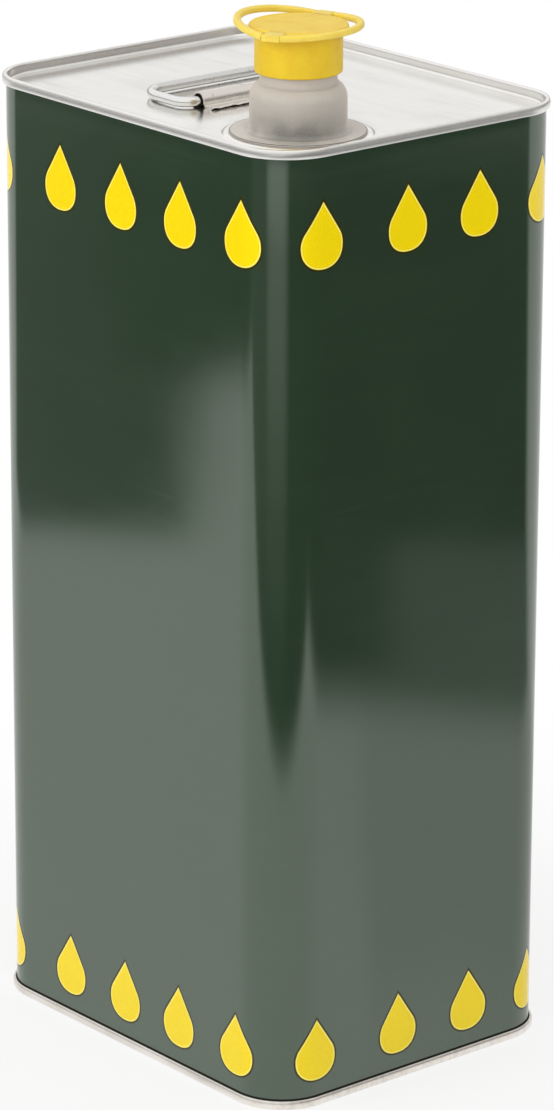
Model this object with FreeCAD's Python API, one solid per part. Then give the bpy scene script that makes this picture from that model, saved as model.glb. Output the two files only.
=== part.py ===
"""Five-litre rectangular oil tin with a wire handle and a pull-up plastic spout.

Origin at the middle of the base, Z up, X along the wide faces, Y along the narrow ones.
All lengths are in millimetres, all angles in degrees.
"""

import FreeCAD, Part
import math
import os

from FreeCAD import Vector

# Tin
BODY_WIDTH = 146.0
BODY_DEPTH = 118.0
TIN_HEIGHT = 312.0
CORNER_RADIUS = 17.5
BODY_SHEET = 0.25
END_SHEET = 0.28

# Welded lap down the wall
LAP_WIDTH = 1.0
LAP_PROUD = 0.1
LAP_MARGIN = 0.6

# Double seams, one at each end
SEAM_HEIGHT = 3.0
SEAM_GAP = 0.08
SEAM_TOP_BEND = 0.45
SEAM_HEADSPACE = 0.35
SEAM_BULGE = 25.0
BODY_HOOK_RUN = 1.2
COVER_HOOK_RUN = 1.2
COUNTERSINK_DEPTH = 3.4
PANEL_BEND = 1.2
PANEL_BORDER = 2.0

# Raised collar round the spout hole
SPOUT_FROM_SIDE = 29.0
SPOUT_FROM_FRONT = 32.0
HOLE_RADIUS = 20.8
COLLAR_RADIUS = 23.8
COLLAR_RISE = 0.6
COLLAR_SLOPE = 45.0
COLLAR_LIP_BEND = 0.5
COLLAR_WALL_RUN = 2.0

# Plug ring of the spout
PLUG_CLEARANCE = 0.06
SEAT_CLEARANCE = 0.04
PLUG_WALL = 1.3
RING_THICKNESS = 1.1
RING_LIP_OVERLAP = 0.45
RING_LIP_THICKNESS = 0.5
RING_INNER_RADIUS = 14.5
SNAP_OVERLAP = 0.4
SNAP_HEIGHT = 0.6
PLUG_TAPER_HEIGHT = 0.8

# Flexible skirt of the spout
SKIRT_RADIUS = 15.0
SKIRT_WALL = 0.9
SKIRT_FOOT_FILLET = 1.6
SKIRT_SHOULDER_HEIGHT = 10.4
SKIRT_HEIGHT = 15.2

# Neck of the spout
NECK_RADIUS = 11.9
NECK_WALL = 1.7
NECK_LENGTH = 15.1
NECK_MOUTH_CHAMFER = 0.5

# Screw cap
CAP_RADIUS = 13.55
CAP_BORE_CLEARANCE = 0.75
CAP_REACH = 12.0
CAP_DISC_RADIUS = 15.3
CAP_DISC_THICKNESS = 2.2
CAP_TOP_THICKNESS = 1.8
CAP_EDGE_FILLET = 0.45
CAP_FOOT_FILLET = 0.7
LINER_THICKNESS = 1.0
LINER_CLEARANCE = 0.25

# Lifting half rings on the cap
BAIL_RADIUS = 19.9
BAIL_WIDTH = 2.3
BAIL_THICKNESS = 2.0
BAIL_ROUNDING = 0.6
LUG_WIDTH = 6.0
LUG_ROOT = 1.5
HINGE_GAP = 0.3
BAIL_AXIS_ANGLE = 114.0
BAIL_LEFT_LIFT = 9.0
BAIL_RIGHT_LIFT = 3.5

# Wire handle and its strap
WIRE_RADIUS = 1.6
WIRE_LIFT = 0.3
HANDLE_AXIS_X = -2.0
HANDLE_MIDDLE_Y = -6.7
HANDLE_REACH = 21.6
HANDLE_HALF_LENGTH = 27.9
HANDLE_FAR_BEND = 8.5
HANDLE_NEAR_BEND = 5.0
WIRE_END_GAP = 0.6
STRAP_SHEET = 0.6
STRAP_WIRE_CLEARANCE = 0.8
STRAP_END_CLEARANCE = 0.8
STRAP_FOOT_BEND = 0.9
STRAP_FOOT_RUN = 2.2
STRAP_EDGE_RUN = 0.9
STRAP_EDGE_BEND = 1.0
STRAP_EDGE_ANGLE = 28.0

# Places that follow from the sizes above
SPOUT_X = BODY_WIDTH / 2 - SPOUT_FROM_SIDE
SPOUT_Y = SPOUT_FROM_FRONT - BODY_DEPTH / 2
PANEL_TOP = TIN_HEIGHT - COUNTERSINK_DEPTH
COLLAR_TOP = PANEL_TOP + COLLAR_RISE
RING_TOP = COLLAR_TOP + SEAT_CLEARANCE + RING_LIP_THICKNESS
NECK_ROOT = RING_TOP + SKIRT_HEIGHT
NECK_TOP = NECK_ROOT + NECK_LENGTH
CAP_CEILING = NECK_TOP + LINER_THICKNESS
CAP_TOP = CAP_CEILING + CAP_TOP_THICKNESS
CAP_BORE_RADIUS = NECK_RADIUS + CAP_BORE_CLEARANCE
BAIL_TOP = CAP_TOP
BAIL_HINGE_OFFSET = LUG_WIDTH / 2 + HINGE_GAP / 2
WIRE_AXIS_Z = PANEL_TOP + WIRE_LIFT + WIRE_RADIUS

# Middle lines of the five sheets in a seam, measured outwards from the wall's outer face
CHUCK_LINE = -(BODY_SHEET + SEAM_GAP + END_SHEET / 2)
WALL_LINE = -BODY_SHEET / 2
COVER_HOOK_LINE = SEAM_GAP + END_SHEET / 2
BODY_HOOK_LINE = COVER_HOOK_LINE + END_SHEET / 2 + SEAM_GAP + BODY_SHEET / 2
SEAM_WALL_LINE = BODY_HOOK_LINE + BODY_SHEET / 2 + SEAM_GAP + END_SHEET / 2

RIGHT_ANGLE = 90.0
HALF_TURN = 180.0
FULL_TURN = 360.0
SPOUT_AXIS = Vector(SPOUT_X, SPOUT_Y, 0)


def heading_vector(heading):
    """Unit vector in the XZ plane at an angle above the X axis."""
    angle = math.radians(heading)
    return Vector(math.cos(angle), 0, math.sin(angle))


def run(length):
    """A straight stretch of a bent sheet's middle line."""
    return (length, 0, 0)


def bend(radius, angle):
    """A round stretch of a bent sheet's middle line, to the left where the angle is positive."""
    return (0, radius, angle)


def bent_sheet(thickness, start, heading, steps):
    """Closed section of a bent sheet in the XZ plane, from the runs and bends of its middle line."""
    place = Vector(start[0], 0, start[1])
    faces = {RIGHT_ANGLE: [], -RIGHT_ANGLE: []}
    ends = [(place, heading)]
    for length, radius, angle in steps:
        turn = math.copysign(RIGHT_ANGLE, angle)
        centre = place + heading_vector(heading + turn) * radius
        for side, edges in faces.items():
            first = place + heading_vector(heading + side) * (thickness / 2)
            if angle:
                reach = radius - math.copysign(thickness / 2, side * angle)
                middle = centre - heading_vector(heading + turn + angle / 2) * reach
                last = centre - heading_vector(heading + turn + angle) * reach
                edges.append(Part.Arc(first, middle, last).toShape())
            else:
                last = first + heading_vector(heading) * length
                edges.append(Part.makeLine(first, last))
        if angle:
            place = centre - heading_vector(heading + turn + angle) * radius
            heading = heading + angle
        else:
            place = place + heading_vector(heading) * length
    ends.append((place, heading))
    caps = []
    for point, direction in ends:
        offset = heading_vector(direction + RIGHT_ANGLE) * (thickness / 2)
        caps.append(Part.makeLine(point + offset, point - offset))
    edges = faces[RIGHT_ANGLE] + faces[-RIGHT_ANGLE] + caps
    return Part.Wire(Part.__sortEdges__(edges))


def section(points):
    """Closed section in the XZ plane through corners given as (radius, height)."""
    corners = [Vector(radius, 0, height) for radius, height in points]
    return Part.makePolygon(corners + corners[:1])


def turned(wire, axis=SPOUT_AXIS):
    """Solid of revolution of an XZ section about an upright axis."""
    face = Part.Face(wire)
    face.translate(axis)
    return face.revolve(axis, Vector(0, 0, 1), FULL_TURN)


def outline(inset):
    """Rounded rectangle of the tin, moved inwards from the wall's outer face, starting mid front."""
    half_x = BODY_WIDTH / 2 - inset
    half_y = BODY_DEPTH / 2 - inset
    radius = CORNER_RADIUS - inset
    edges = []
    place = Vector(0, -half_y, 0)
    for quarter in range(4):
        angle = math.radians(quarter * RIGHT_ANGLE - RIGHT_ANGLE / 2)
        sign_x = math.copysign(1, math.cos(angle))
        sign_y = math.copysign(1, math.sin(angle))
        centre = Vector(sign_x * (half_x - radius), sign_y * (half_y - radius), 0)
        out_start = Vector(0, sign_y * radius, 0) if quarter % 2 == 0 else Vector(sign_x * radius, 0, 0)
        out_end = Vector(sign_x * radius, 0, 0) if quarter % 2 == 0 else Vector(0, sign_y * radius, 0)
        out_middle = Vector(math.cos(angle), math.sin(angle), 0) * radius
        edges.append(Part.makeLine(place, centre + out_start))
        edges.append(Part.Arc(centre + out_start, centre + out_middle, centre + out_end).toShape())
        place = centre + out_end
    edges.append(Part.makeLine(place, Vector(0, -half_y, 0)))
    return Part.Wire(edges)


def swept_round_tin(wire):
    """Solid made by taking a section, with X outwards from the wall's outer face, round the tin."""
    profile = wire.copy()
    profile.rotate(Vector(0, 0, 0), Vector(0, 0, 1), -RIGHT_ANGLE)
    profile.translate(Vector(0, -BODY_DEPTH / 2, 0))
    return outline(0).makePipeShell([profile], True, False)


def upside_down(shape):
    """The same shape at the other end of the tin."""
    return shape.mirror(Vector(0, 0, TIN_HEIGHT / 2), Vector(0, 0, 1))


def body_shell():
    """Wall of the tin, with a hook turned outwards at each edge and the welded lap down one side."""
    fold = (BODY_HOOK_LINE - WALL_LINE) / 2
    fold_top = TIN_HEIGHT - END_SHEET - SEAM_HEADSPACE
    fold_centre = fold_top - fold - BODY_SHEET / 2
    wall = TIN_HEIGHT - 2 * (TIN_HEIGHT - fold_centre)
    start = (BODY_HOOK_LINE, TIN_HEIGHT - fold_centre + BODY_HOOK_RUN)
    steps = [
        run(BODY_HOOK_RUN),
        bend(fold, -HALF_TURN),
        run(wall),
        bend(fold, -HALF_TURN),
        run(BODY_HOOK_RUN),
    ]
    tube = swept_round_tin(bent_sheet(BODY_SHEET, start, -RIGHT_ANGLE, steps))
    lap_end = COUNTERSINK_DEPTH + END_SHEET + LAP_MARGIN
    lap = Part.makeBox(BODY_SHEET + 2 * LAP_PROUD, LAP_WIDTH, TIN_HEIGHT - 2 * lap_end)
    lap.translate(Vector(-BODY_WIDTH / 2 - LAP_PROUD, -LAP_WIDTH / 2, lap_end))
    return tube.fuse(lap).removeSplitter()


def end_rim():
    """Border of the lid: edge of the panel, chuck wall, seam top, rolled seam wall and cover hook."""
    curl = (SEAM_WALL_LINE - COVER_HOOK_LINE) / 2
    panel_line = PANEL_TOP - END_SHEET / 2
    top_line = TIN_HEIGHT - END_SHEET / 2
    lean = RIGHT_ANGLE - SEAM_BULGE
    sine = math.sin(math.radians(SEAM_BULGE))
    cosine = math.cos(math.radians(SEAM_BULGE))
    bulge_top = top_line - SEAM_TOP_BEND * (1 - sine)
    bulge_bottom = TIN_HEIGHT - SEAM_HEIGHT + END_SHEET / 2 + curl * (1 - sine)
    bulge_edge = COVER_HOOK_LINE + curl * (1 + cosine)
    start = (CHUCK_LINE - PANEL_BEND - PANEL_BORDER, panel_line)
    steps = [
        run(PANEL_BORDER),
        bend(PANEL_BEND, RIGHT_ANGLE),
        run(top_line - SEAM_TOP_BEND - panel_line - PANEL_BEND),
        bend(SEAM_TOP_BEND, -RIGHT_ANGLE),
        run(bulge_edge - CHUCK_LINE - SEAM_TOP_BEND * (1 + cosine)),
        bend(SEAM_TOP_BEND, -lean),
        bend((bulge_top - bulge_bottom) / (2 * sine), -2 * SEAM_BULGE),
        bend(curl, SEAM_BULGE - HALF_TURN),
        run(COVER_HOOK_RUN),
    ]
    return swept_round_tin(bent_sheet(END_SHEET, start, 0, steps))


def end_panel():
    """Flat sheet inside the border of the lid."""
    face = Part.Face(outline(PANEL_BORDER + PANEL_BEND - CHUCK_LINE))
    plate = face.extrude(Vector(0, 0, END_SHEET))
    plate.translate(Vector(0, 0, PANEL_TOP - END_SHEET))
    return plate


def spout_collar():
    """Sheet raised round the spout hole and turned down into it."""
    slope_bend = COLLAR_RISE / (2 * (1 - math.cos(math.radians(COLLAR_SLOPE))))
    slope_run = 2 * slope_bend * math.sin(math.radians(COLLAR_SLOPE))
    wall_line = HOLE_RADIUS + END_SHEET / 2
    steps = [
        bend(slope_bend, -COLLAR_SLOPE),
        bend(slope_bend, COLLAR_SLOPE),
        run(COLLAR_RADIUS - slope_run - COLLAR_LIP_BEND - wall_line),
        bend(COLLAR_LIP_BEND, RIGHT_ANGLE),
        run(COLLAR_WALL_RUN),
    ]
    return turned(bent_sheet(END_SHEET, (COLLAR_RADIUS, PANEL_TOP - END_SHEET / 2), HALF_TURN, steps))


def top_end():
    """Lid of the tin, with the collar for the spout."""
    hole = Part.makeCylinder(COLLAR_RADIUS, END_SHEET, SPOUT_AXIS + Vector(0, 0, PANEL_TOP - END_SHEET))
    plate = end_panel().cut(hole)
    return end_rim().fuse([plate, spout_collar()]).removeSplitter()


def bottom_end():
    """Bottom of the tin, seamed on like the lid."""
    return upside_down(end_rim().fuse(end_panel()).removeSplitter())


def top_seam_compound():
    """Thread of sealing compound in the head of the seam, above the body hook."""
    inner = CHUCK_LINE + SEAM_TOP_BEND
    outer = SEAM_WALL_LINE - SEAM_TOP_BEND
    top = TIN_HEIGHT - END_SHEET - SEAM_GAP
    bottom = TIN_HEIGHT - END_SHEET - SEAM_HEADSPACE + SEAM_GAP
    return swept_round_tin(section([(inner, bottom), (outer, bottom), (outer, top), (inner, top)]))


def bottom_seam_compound():
    """The same thread in the bottom seam."""
    return upside_down(top_seam_compound())


def handle_strap():
    """Saddle of bent sheet on the lid that the handle turns in, with the edges of its feet turned up."""
    roof_bend = WIRE_RADIUS + STRAP_WIRE_CLEARANCE + STRAP_SHEET / 2
    foot_line = PANEL_TOP + STRAP_SHEET / 2
    rise = WIRE_AXIS_Z - foot_line - STRAP_FOOT_BEND
    edge_angle = math.radians(STRAP_EDGE_ANGLE)
    edge_reach = STRAP_EDGE_RUN * math.cos(edge_angle) + STRAP_EDGE_BEND * math.sin(edge_angle)
    edge_rise = STRAP_EDGE_RUN * math.sin(edge_angle) + STRAP_EDGE_BEND * (1 - math.cos(edge_angle))
    start_x = HANDLE_AXIS_X - roof_bend - STRAP_FOOT_BEND - STRAP_FOOT_RUN - edge_reach
    steps = [
        run(STRAP_EDGE_RUN),
        bend(STRAP_EDGE_BEND, STRAP_EDGE_ANGLE),
        run(STRAP_FOOT_RUN),
        bend(STRAP_FOOT_BEND, RIGHT_ANGLE),
        run(rise),
        bend(roof_bend, -HALF_TURN),
        run(rise),
        bend(STRAP_FOOT_BEND, RIGHT_ANGLE),
        run(STRAP_FOOT_RUN),
        bend(STRAP_EDGE_BEND, STRAP_EDGE_ANGLE),
        run(STRAP_EDGE_RUN),
    ]
    half_length = HANDLE_HALF_LENGTH - HANDLE_NEAR_BEND - STRAP_END_CLEARANCE
    face = Part.Face(bent_sheet(STRAP_SHEET, (start_x, foot_line + edge_rise), -STRAP_EDGE_ANGLE, steps))
    face.translate(Vector(0, HANDLE_MIDDLE_Y - half_length, 0))
    return face.extrude(Vector(0, 2 * half_length, 0))


def handle_path():
    """Middle line of the wire, from one end under the strap round the loop to the other."""
    edges = []
    place = Vector(0, WIRE_END_GAP / 2, 0)
    corners = [
        (Vector(0, HANDLE_HALF_LENGTH, 0), Vector(0, 1, 0), Vector(-1, 0, 0), HANDLE_NEAR_BEND),
        (Vector(-HANDLE_REACH, HANDLE_HALF_LENGTH, 0), Vector(-1, 0, 0), Vector(0, -1, 0), HANDLE_FAR_BEND),
        (Vector(-HANDLE_REACH, -HANDLE_HALF_LENGTH, 0), Vector(0, -1, 0), Vector(1, 0, 0), HANDLE_FAR_BEND),
        (Vector(0, -HANDLE_HALF_LENGTH, 0), Vector(1, 0, 0), Vector(0, 1, 0), HANDLE_NEAR_BEND),
    ]
    for corner, arriving, leaving, radius in corners:
        first = corner - arriving * radius
        last = corner + leaving * radius
        middle = corner + (leaving - arriving) * (radius * (1 - math.sqrt(0.5)))
        edges.append(Part.makeLine(place, first))
        edges.append(Part.Arc(first, middle, last).toShape())
        place = last
    edges.append(Part.makeLine(place, Vector(0, -WIRE_END_GAP / 2, 0)))
    return Part.Wire(edges)


def handle_wire():
    """Carrying handle, one wire bent to a loop whose ends meet under the strap."""
    start = Vector(0, WIRE_END_GAP / 2, 0)
    round_section = Part.Wire(Part.makeCircle(WIRE_RADIUS, start, Vector(0, 1, 0)))
    wire = handle_path().makePipeShell([round_section], True, False)
    wire.translate(Vector(HANDLE_AXIS_X, HANDLE_MIDDLE_Y, WIRE_AXIS_Z))
    return wire


def spout_flange():
    """Plug ring of the spout: lip on the collar, wall in the hole and snap bead under the collar."""
    plug = HOLE_RADIUS - PLUG_CLEARANCE
    lip_bottom = COLLAR_TOP + SEAT_CLEARANCE
    collar_end = COLLAR_TOP - END_SHEET / 2 - COLLAR_LIP_BEND - COLLAR_WALL_RUN
    snap_top = collar_end - SEAT_CLEARANCE
    snap_bottom = snap_top - SNAP_HEIGHT
    plug_bottom = snap_bottom - PLUG_TAPER_HEIGHT
    bore = plug - PLUG_WALL
    points = [
        (RING_INNER_RADIUS, RING_TOP),
        (HOLE_RADIUS + RING_LIP_OVERLAP, RING_TOP),
        (HOLE_RADIUS + RING_LIP_OVERLAP, lip_bottom),
        (plug, lip_bottom),
        (plug, snap_top),
        (plug + SNAP_OVERLAP, snap_top),
        (plug + SNAP_OVERLAP, snap_bottom),
        (plug - SNAP_OVERLAP, plug_bottom),
        (bore, plug_bottom),
        (bore, RING_TOP - RING_THICKNESS),
        (RING_INNER_RADIUS, RING_TOP - RING_THICKNESS),
    ]
    return turned(section(points))


def shoulder_arc(wall_top, root):
    """Arc that leaves an upright wall smoothly and leans in to the root of the neck."""
    across = wall_top.x - root.x
    rise = root.z - wall_top.z
    radius = (across ** 2 + rise ** 2) / (2 * across)
    half_angle = math.asin(rise / radius) / 2
    centre = wall_top - Vector(radius, 0, 0)
    middle = centre + Vector(math.cos(half_angle), 0, math.sin(half_angle)) * radius
    return Part.Arc(wall_top, middle, root).toShape()


def spout_skirt():
    """Flexible skirt of the spout, from a filleted foot on the ring to a round shoulder at the neck."""
    inner = SKIRT_RADIUS - SKIRT_WALL
    neck_inner = NECK_RADIUS - NECK_WALL
    foot_reach = SKIRT_FOOT_FILLET * (1 - math.sqrt(0.5))
    foot = Vector(SKIRT_RADIUS + SKIRT_FOOT_FILLET, 0, RING_TOP)
    foot_middle = Vector(SKIRT_RADIUS + foot_reach, 0, RING_TOP + foot_reach)
    foot_top = Vector(SKIRT_RADIUS, 0, RING_TOP + SKIRT_FOOT_FILLET)
    wall_top = Vector(SKIRT_RADIUS, 0, RING_TOP + SKIRT_SHOULDER_HEIGHT)
    root_outer = Vector(NECK_RADIUS, 0, NECK_ROOT)
    root_inner = Vector(neck_inner, 0, NECK_ROOT)
    inner_root = Vector(neck_inner, 0, NECK_ROOT - SKIRT_WALL)
    wall_inner = Vector(inner, 0, RING_TOP + SKIRT_SHOULDER_HEIGHT)
    foot_inner = Vector(inner, 0, RING_TOP)
    edges = [
        Part.Arc(foot, foot_middle, foot_top).toShape(),
        Part.makeLine(foot_top, wall_top),
        shoulder_arc(wall_top, root_outer),
        Part.makeLine(root_outer, root_inner),
        Part.makeLine(root_inner, inner_root),
        shoulder_arc(wall_inner, inner_root),
        Part.makeLine(wall_inner, foot_inner),
        Part.makeLine(foot_inner, foot),
    ]
    return turned(Part.Wire(Part.__sortEdges__(edges)))


def spout_neck():
    """Stiff neck of the spout, open at both ends, with an eased pouring edge."""
    bore = NECK_RADIUS - NECK_WALL
    points = [
        (bore, NECK_ROOT),
        (NECK_RADIUS, NECK_ROOT),
        (NECK_RADIUS, NECK_TOP),
        (bore + NECK_MOUTH_CHAMFER, NECK_TOP),
        (bore, NECK_TOP - NECK_MOUTH_CHAMFER),
    ]
    return turned(section(points))


def cap_liner():
    """Sealing disc held inside the cap, resting on the edge of the neck."""
    return Part.makeCylinder(
        CAP_BORE_RADIUS - LINER_CLEARANCE, LINER_THICKNESS, SPOUT_AXIS + Vector(0, 0, NECK_TOP)
    )


def on_cap(shape):
    """Turns a shape built with the lugs along X to the cap's own angle and moves it to the spout."""
    placed = shape.copy()
    placed.rotate(Vector(0, 0, 0), Vector(0, 0, 1), BAIL_AXIS_ANGLE)
    placed.translate(SPOUT_AXIS)
    return placed


def cap_lugs():
    """Two arms on the cap's disc that the half rings hang on."""
    bar = Part.makeBox(2 * BAIL_RADIUS, LUG_WIDTH, BAIL_THICKNESS)
    bar.translate(Vector(-BAIL_RADIUS, -LUG_WIDTH / 2, BAIL_TOP - BAIL_THICKNESS))
    reach = Part.makeCylinder(BAIL_RADIUS, BAIL_THICKNESS, Vector(0, 0, BAIL_TOP - BAIL_THICKNESS))
    middle = Part.makeCylinder(
        CAP_DISC_RADIUS - LUG_ROOT, BAIL_THICKNESS, Vector(0, 0, BAIL_TOP - BAIL_THICKNESS)
    )
    return on_cap(bar.common(reach).cut(middle))


def cap_shell():
    """Screw cap: plain side, overhanging top disc and the two lugs."""
    disc_bottom = CAP_TOP - CAP_DISC_THICKNESS
    foot = NECK_TOP - CAP_REACH
    points = [
        (0, CAP_CEILING),
        (CAP_BORE_RADIUS, CAP_CEILING),
        (CAP_BORE_RADIUS, foot),
        (CAP_RADIUS - CAP_FOOT_FILLET, foot),
        (CAP_RADIUS, foot + CAP_FOOT_FILLET),
        (CAP_RADIUS, disc_bottom),
        (CAP_DISC_RADIUS - CAP_EDGE_FILLET, disc_bottom),
        (CAP_DISC_RADIUS, disc_bottom + CAP_EDGE_FILLET),
        (CAP_DISC_RADIUS, CAP_TOP - CAP_EDGE_FILLET),
        (CAP_DISC_RADIUS - CAP_EDGE_FILLET, CAP_TOP),
        (0, CAP_TOP),
    ]
    return turned(section(points)).fuse(cap_lugs()).removeSplitter()


def bail(side, lift):
    """Half ring on one side of the lugs, lifted about the edge of the lugs that it folds on."""
    bottom = BAIL_TOP - BAIL_THICKNESS
    base = Vector(0, 0, bottom)
    ring = Part.makeCylinder(BAIL_RADIUS, BAIL_THICKNESS, base)
    ring = ring.cut(Part.makeCylinder(BAIL_RADIUS - BAIL_WIDTH, BAIL_THICKNESS, base))
    ring = ring.makeFillet(BAIL_ROUNDING, round_edges(ring))
    keep = Part.makeBox(2 * BAIL_RADIUS, BAIL_RADIUS, BAIL_THICKNESS)
    keep.translate(Vector(-BAIL_RADIUS, LUG_WIDTH / 2 + HINGE_GAP, bottom))
    half = ring.common(keep)
    half.rotate(Vector(0, BAIL_HINGE_OFFSET, BAIL_TOP), Vector(1, 0, 0), lift)
    if side < 0:
        half.rotate(Vector(0, 0, 0), Vector(0, 0, 1), HALF_TURN)
    return on_cap(half)


def round_edges(shape):
    """The circular edges of a ring."""
    return [edge for edge in shape.Edges if isinstance(edge.Curve, Part.Circle)]


def bail_left():
    """Half ring on the side away from the spout's corner of the tin."""
    return bail(1, BAIL_LEFT_LIFT)


def bail_right():
    """Half ring on the other side."""
    return bail(-1, BAIL_RIGHT_LIFT)


PIECES = [
    body_shell,
    top_end,
    bottom_end,
    top_seam_compound,
    bottom_seam_compound,
    handle_strap,
    handle_wire,
    spout_flange,
    spout_skirt,
    spout_neck,
    cap_liner,
    cap_shell,
    bail_left,
    bail_right,
]


def main():
    """Builds every piece and writes it to its own file."""
    os.makedirs("parts", exist_ok=True)
    for piece in PIECES:
        shape = piece()
        if shape.ShapeType != "Solid" and len(shape.Solids) == 1:
            shape = shape.Solids[0]
        print(f"{piece.__name__}: {shape.ShapeType}, valid {shape.isValid()}, {shape.Volume:.2f} mm3")
        shape.exportStep(f"parts/{piece.__name__}.step")


main()
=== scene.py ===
"""Five-litre oil tin with a wire handle and a pull-up spout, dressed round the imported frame.

Size fields are in millimetres and degrees. Meshes are in metres, in the frame's own axes: origin at the
middle of the base, Z up, X along the wide faces and Y along the narrow ones.
"""

import logging
import math
from collections.abc import Mapping, Sequence
from dataclasses import dataclass
from enum import Enum

import bmesh
import bpy
import numpy as np
from mathutils import Matrix, Vector

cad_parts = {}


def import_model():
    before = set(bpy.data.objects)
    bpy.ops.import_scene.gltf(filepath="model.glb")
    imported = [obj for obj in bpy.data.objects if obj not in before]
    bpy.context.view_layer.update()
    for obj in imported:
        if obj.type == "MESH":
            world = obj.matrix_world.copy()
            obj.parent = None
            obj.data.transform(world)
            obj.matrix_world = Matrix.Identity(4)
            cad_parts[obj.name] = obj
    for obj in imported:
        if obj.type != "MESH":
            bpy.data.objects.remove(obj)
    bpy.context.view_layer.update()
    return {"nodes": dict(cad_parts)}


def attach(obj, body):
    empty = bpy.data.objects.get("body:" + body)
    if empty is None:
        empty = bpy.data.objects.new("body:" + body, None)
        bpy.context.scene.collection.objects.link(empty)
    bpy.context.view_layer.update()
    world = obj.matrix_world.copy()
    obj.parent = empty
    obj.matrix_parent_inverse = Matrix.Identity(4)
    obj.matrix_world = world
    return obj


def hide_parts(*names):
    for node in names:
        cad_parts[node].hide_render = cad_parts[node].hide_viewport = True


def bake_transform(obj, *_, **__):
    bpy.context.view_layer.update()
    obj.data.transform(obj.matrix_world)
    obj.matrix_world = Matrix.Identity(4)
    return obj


Array = np.ndarray
Colour = tuple[float, float, float, float]
Pair = tuple[float, float]
Place = tuple[float, float, float]

MM = 0.001
TIN_WIDTH, TIN_DEPTH, TIN_CORNER = 146.0, 118.0, 17.5
SPOUT_AXIS = (44.0, -27.0)
HOLE_RADIUS = 20.8
COLLAR_TOP = 309.2
DROP_PITCH = 29.3
LOG = logging.getLogger("oil_tin")


def srgb(red: float, green: float, blue: float) -> Colour:
    """Linear colour of an 8-bit screen colour.

    Args:
        red: Red from 0 to 255.
        green: Green from 0 to 255.
        blue: Blue from 0 to 255.

    Returns:
        The linear colour with full alpha.
    """
    share = np.array([red, green, blue]) / 255.0
    linear = np.where(share <= 0.04045, share / 12.92, ((share + 0.055) / 1.055) ** 2.4)
    return (float(linear[0]), float(linear[1]), float(linear[2]), 1.0)


class Body(Enum):
    """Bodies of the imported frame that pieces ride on."""

    TIN = "tin"
    HANDLE = "handle"
    SPOUT = "spout"
    SEAL = "seal"
    CAP = "cap"
    LEFT_BAIL = "left_bail"
    RIGHT_BAIL = "right_bail"


class Slot(Enum):
    """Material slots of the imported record."""

    LACQUER = "lacquered_tinplate"
    TINPLATE = "bright_tinplate"
    COMPOUND = "seam_compound"
    STRAP = "strap_steel"
    HANDLE = "handle_steel"
    SPOUT = "spout_plastic"
    LINER = "liner_foam"
    CAP = "cap_plastic"


@dataclass(frozen=True)
class Run:
    """Straight stretch of a bent line, cut into equal parts."""

    length: float
    parts: int = 1

    def trace(self, place: Array, heading: float) -> tuple[Array, Array]:
        """Points along the stretch, without its first one.

        Args:
            place: Where the stretch starts.
            heading: Its direction in radians.

        Returns:
            The points and the heading at each.
        """
        share = np.arange(1, self.parts + 1)[:, None] / self.parts
        forward = np.array([math.cos(heading), math.sin(heading)])
        return place + share * self.length * forward, np.full(self.parts, heading)


@dataclass(frozen=True)
class Bend:
    """Round stretch of a bent line, to the left where the angle is positive."""

    radius: float
    angle: float
    step: float = 9.0

    def trace(self, place: Array, heading: float) -> tuple[Array, Array]:
        """Points on the arc: its centre less the left normal at each heading, times the radius.

        Args:
            place: Where the arc starts.
            heading: Its first direction in radians.

        Returns:
            The points and the heading at each.
        """
        parts = max(3, math.ceil(abs(self.angle) / self.step))
        headings = heading + math.radians(self.angle) * np.arange(1, parts + 1) / parts
        reach = math.copysign(self.radius, self.angle)
        centre = place + reach * np.array([-math.sin(heading), math.cos(heading)])
        return centre - reach * np.stack([-np.sin(headings), np.cos(headings)], axis=1), headings


def bent_line(start: Sequence[float], heading: float, steps: Sequence[Run | Bend]) -> tuple[Array, Array]:
    """Line of straight and round stretches, each tangent to the one before.

    Args:
        start: First point.
        heading: First direction in degrees above the first axis.
        steps: The stretches in order.

    Returns:
        The points and the unit normals on the left of the line.
    """
    place, angle = np.array(start, float), math.radians(heading)
    points, headings = [place[None, :]], [np.array([angle])]
    for step in steps:
        traced, turned = step.trace(place, angle)
        points.append(traced)
        headings.append(turned)
        place, angle = traced[-1], float(turned[-1])
    along = np.concatenate(headings)
    return np.concatenate(points), np.stack([-np.sin(along), np.cos(along)], axis=1)


def sheet_faces(thickness: float, line: Array, normals: Array) -> tuple[Array, Array]:
    """The two faces of a sheet: its middle line moved half the thickness to each side."""
    return line + normals * thickness / 2, line - normals * thickness / 2


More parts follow.
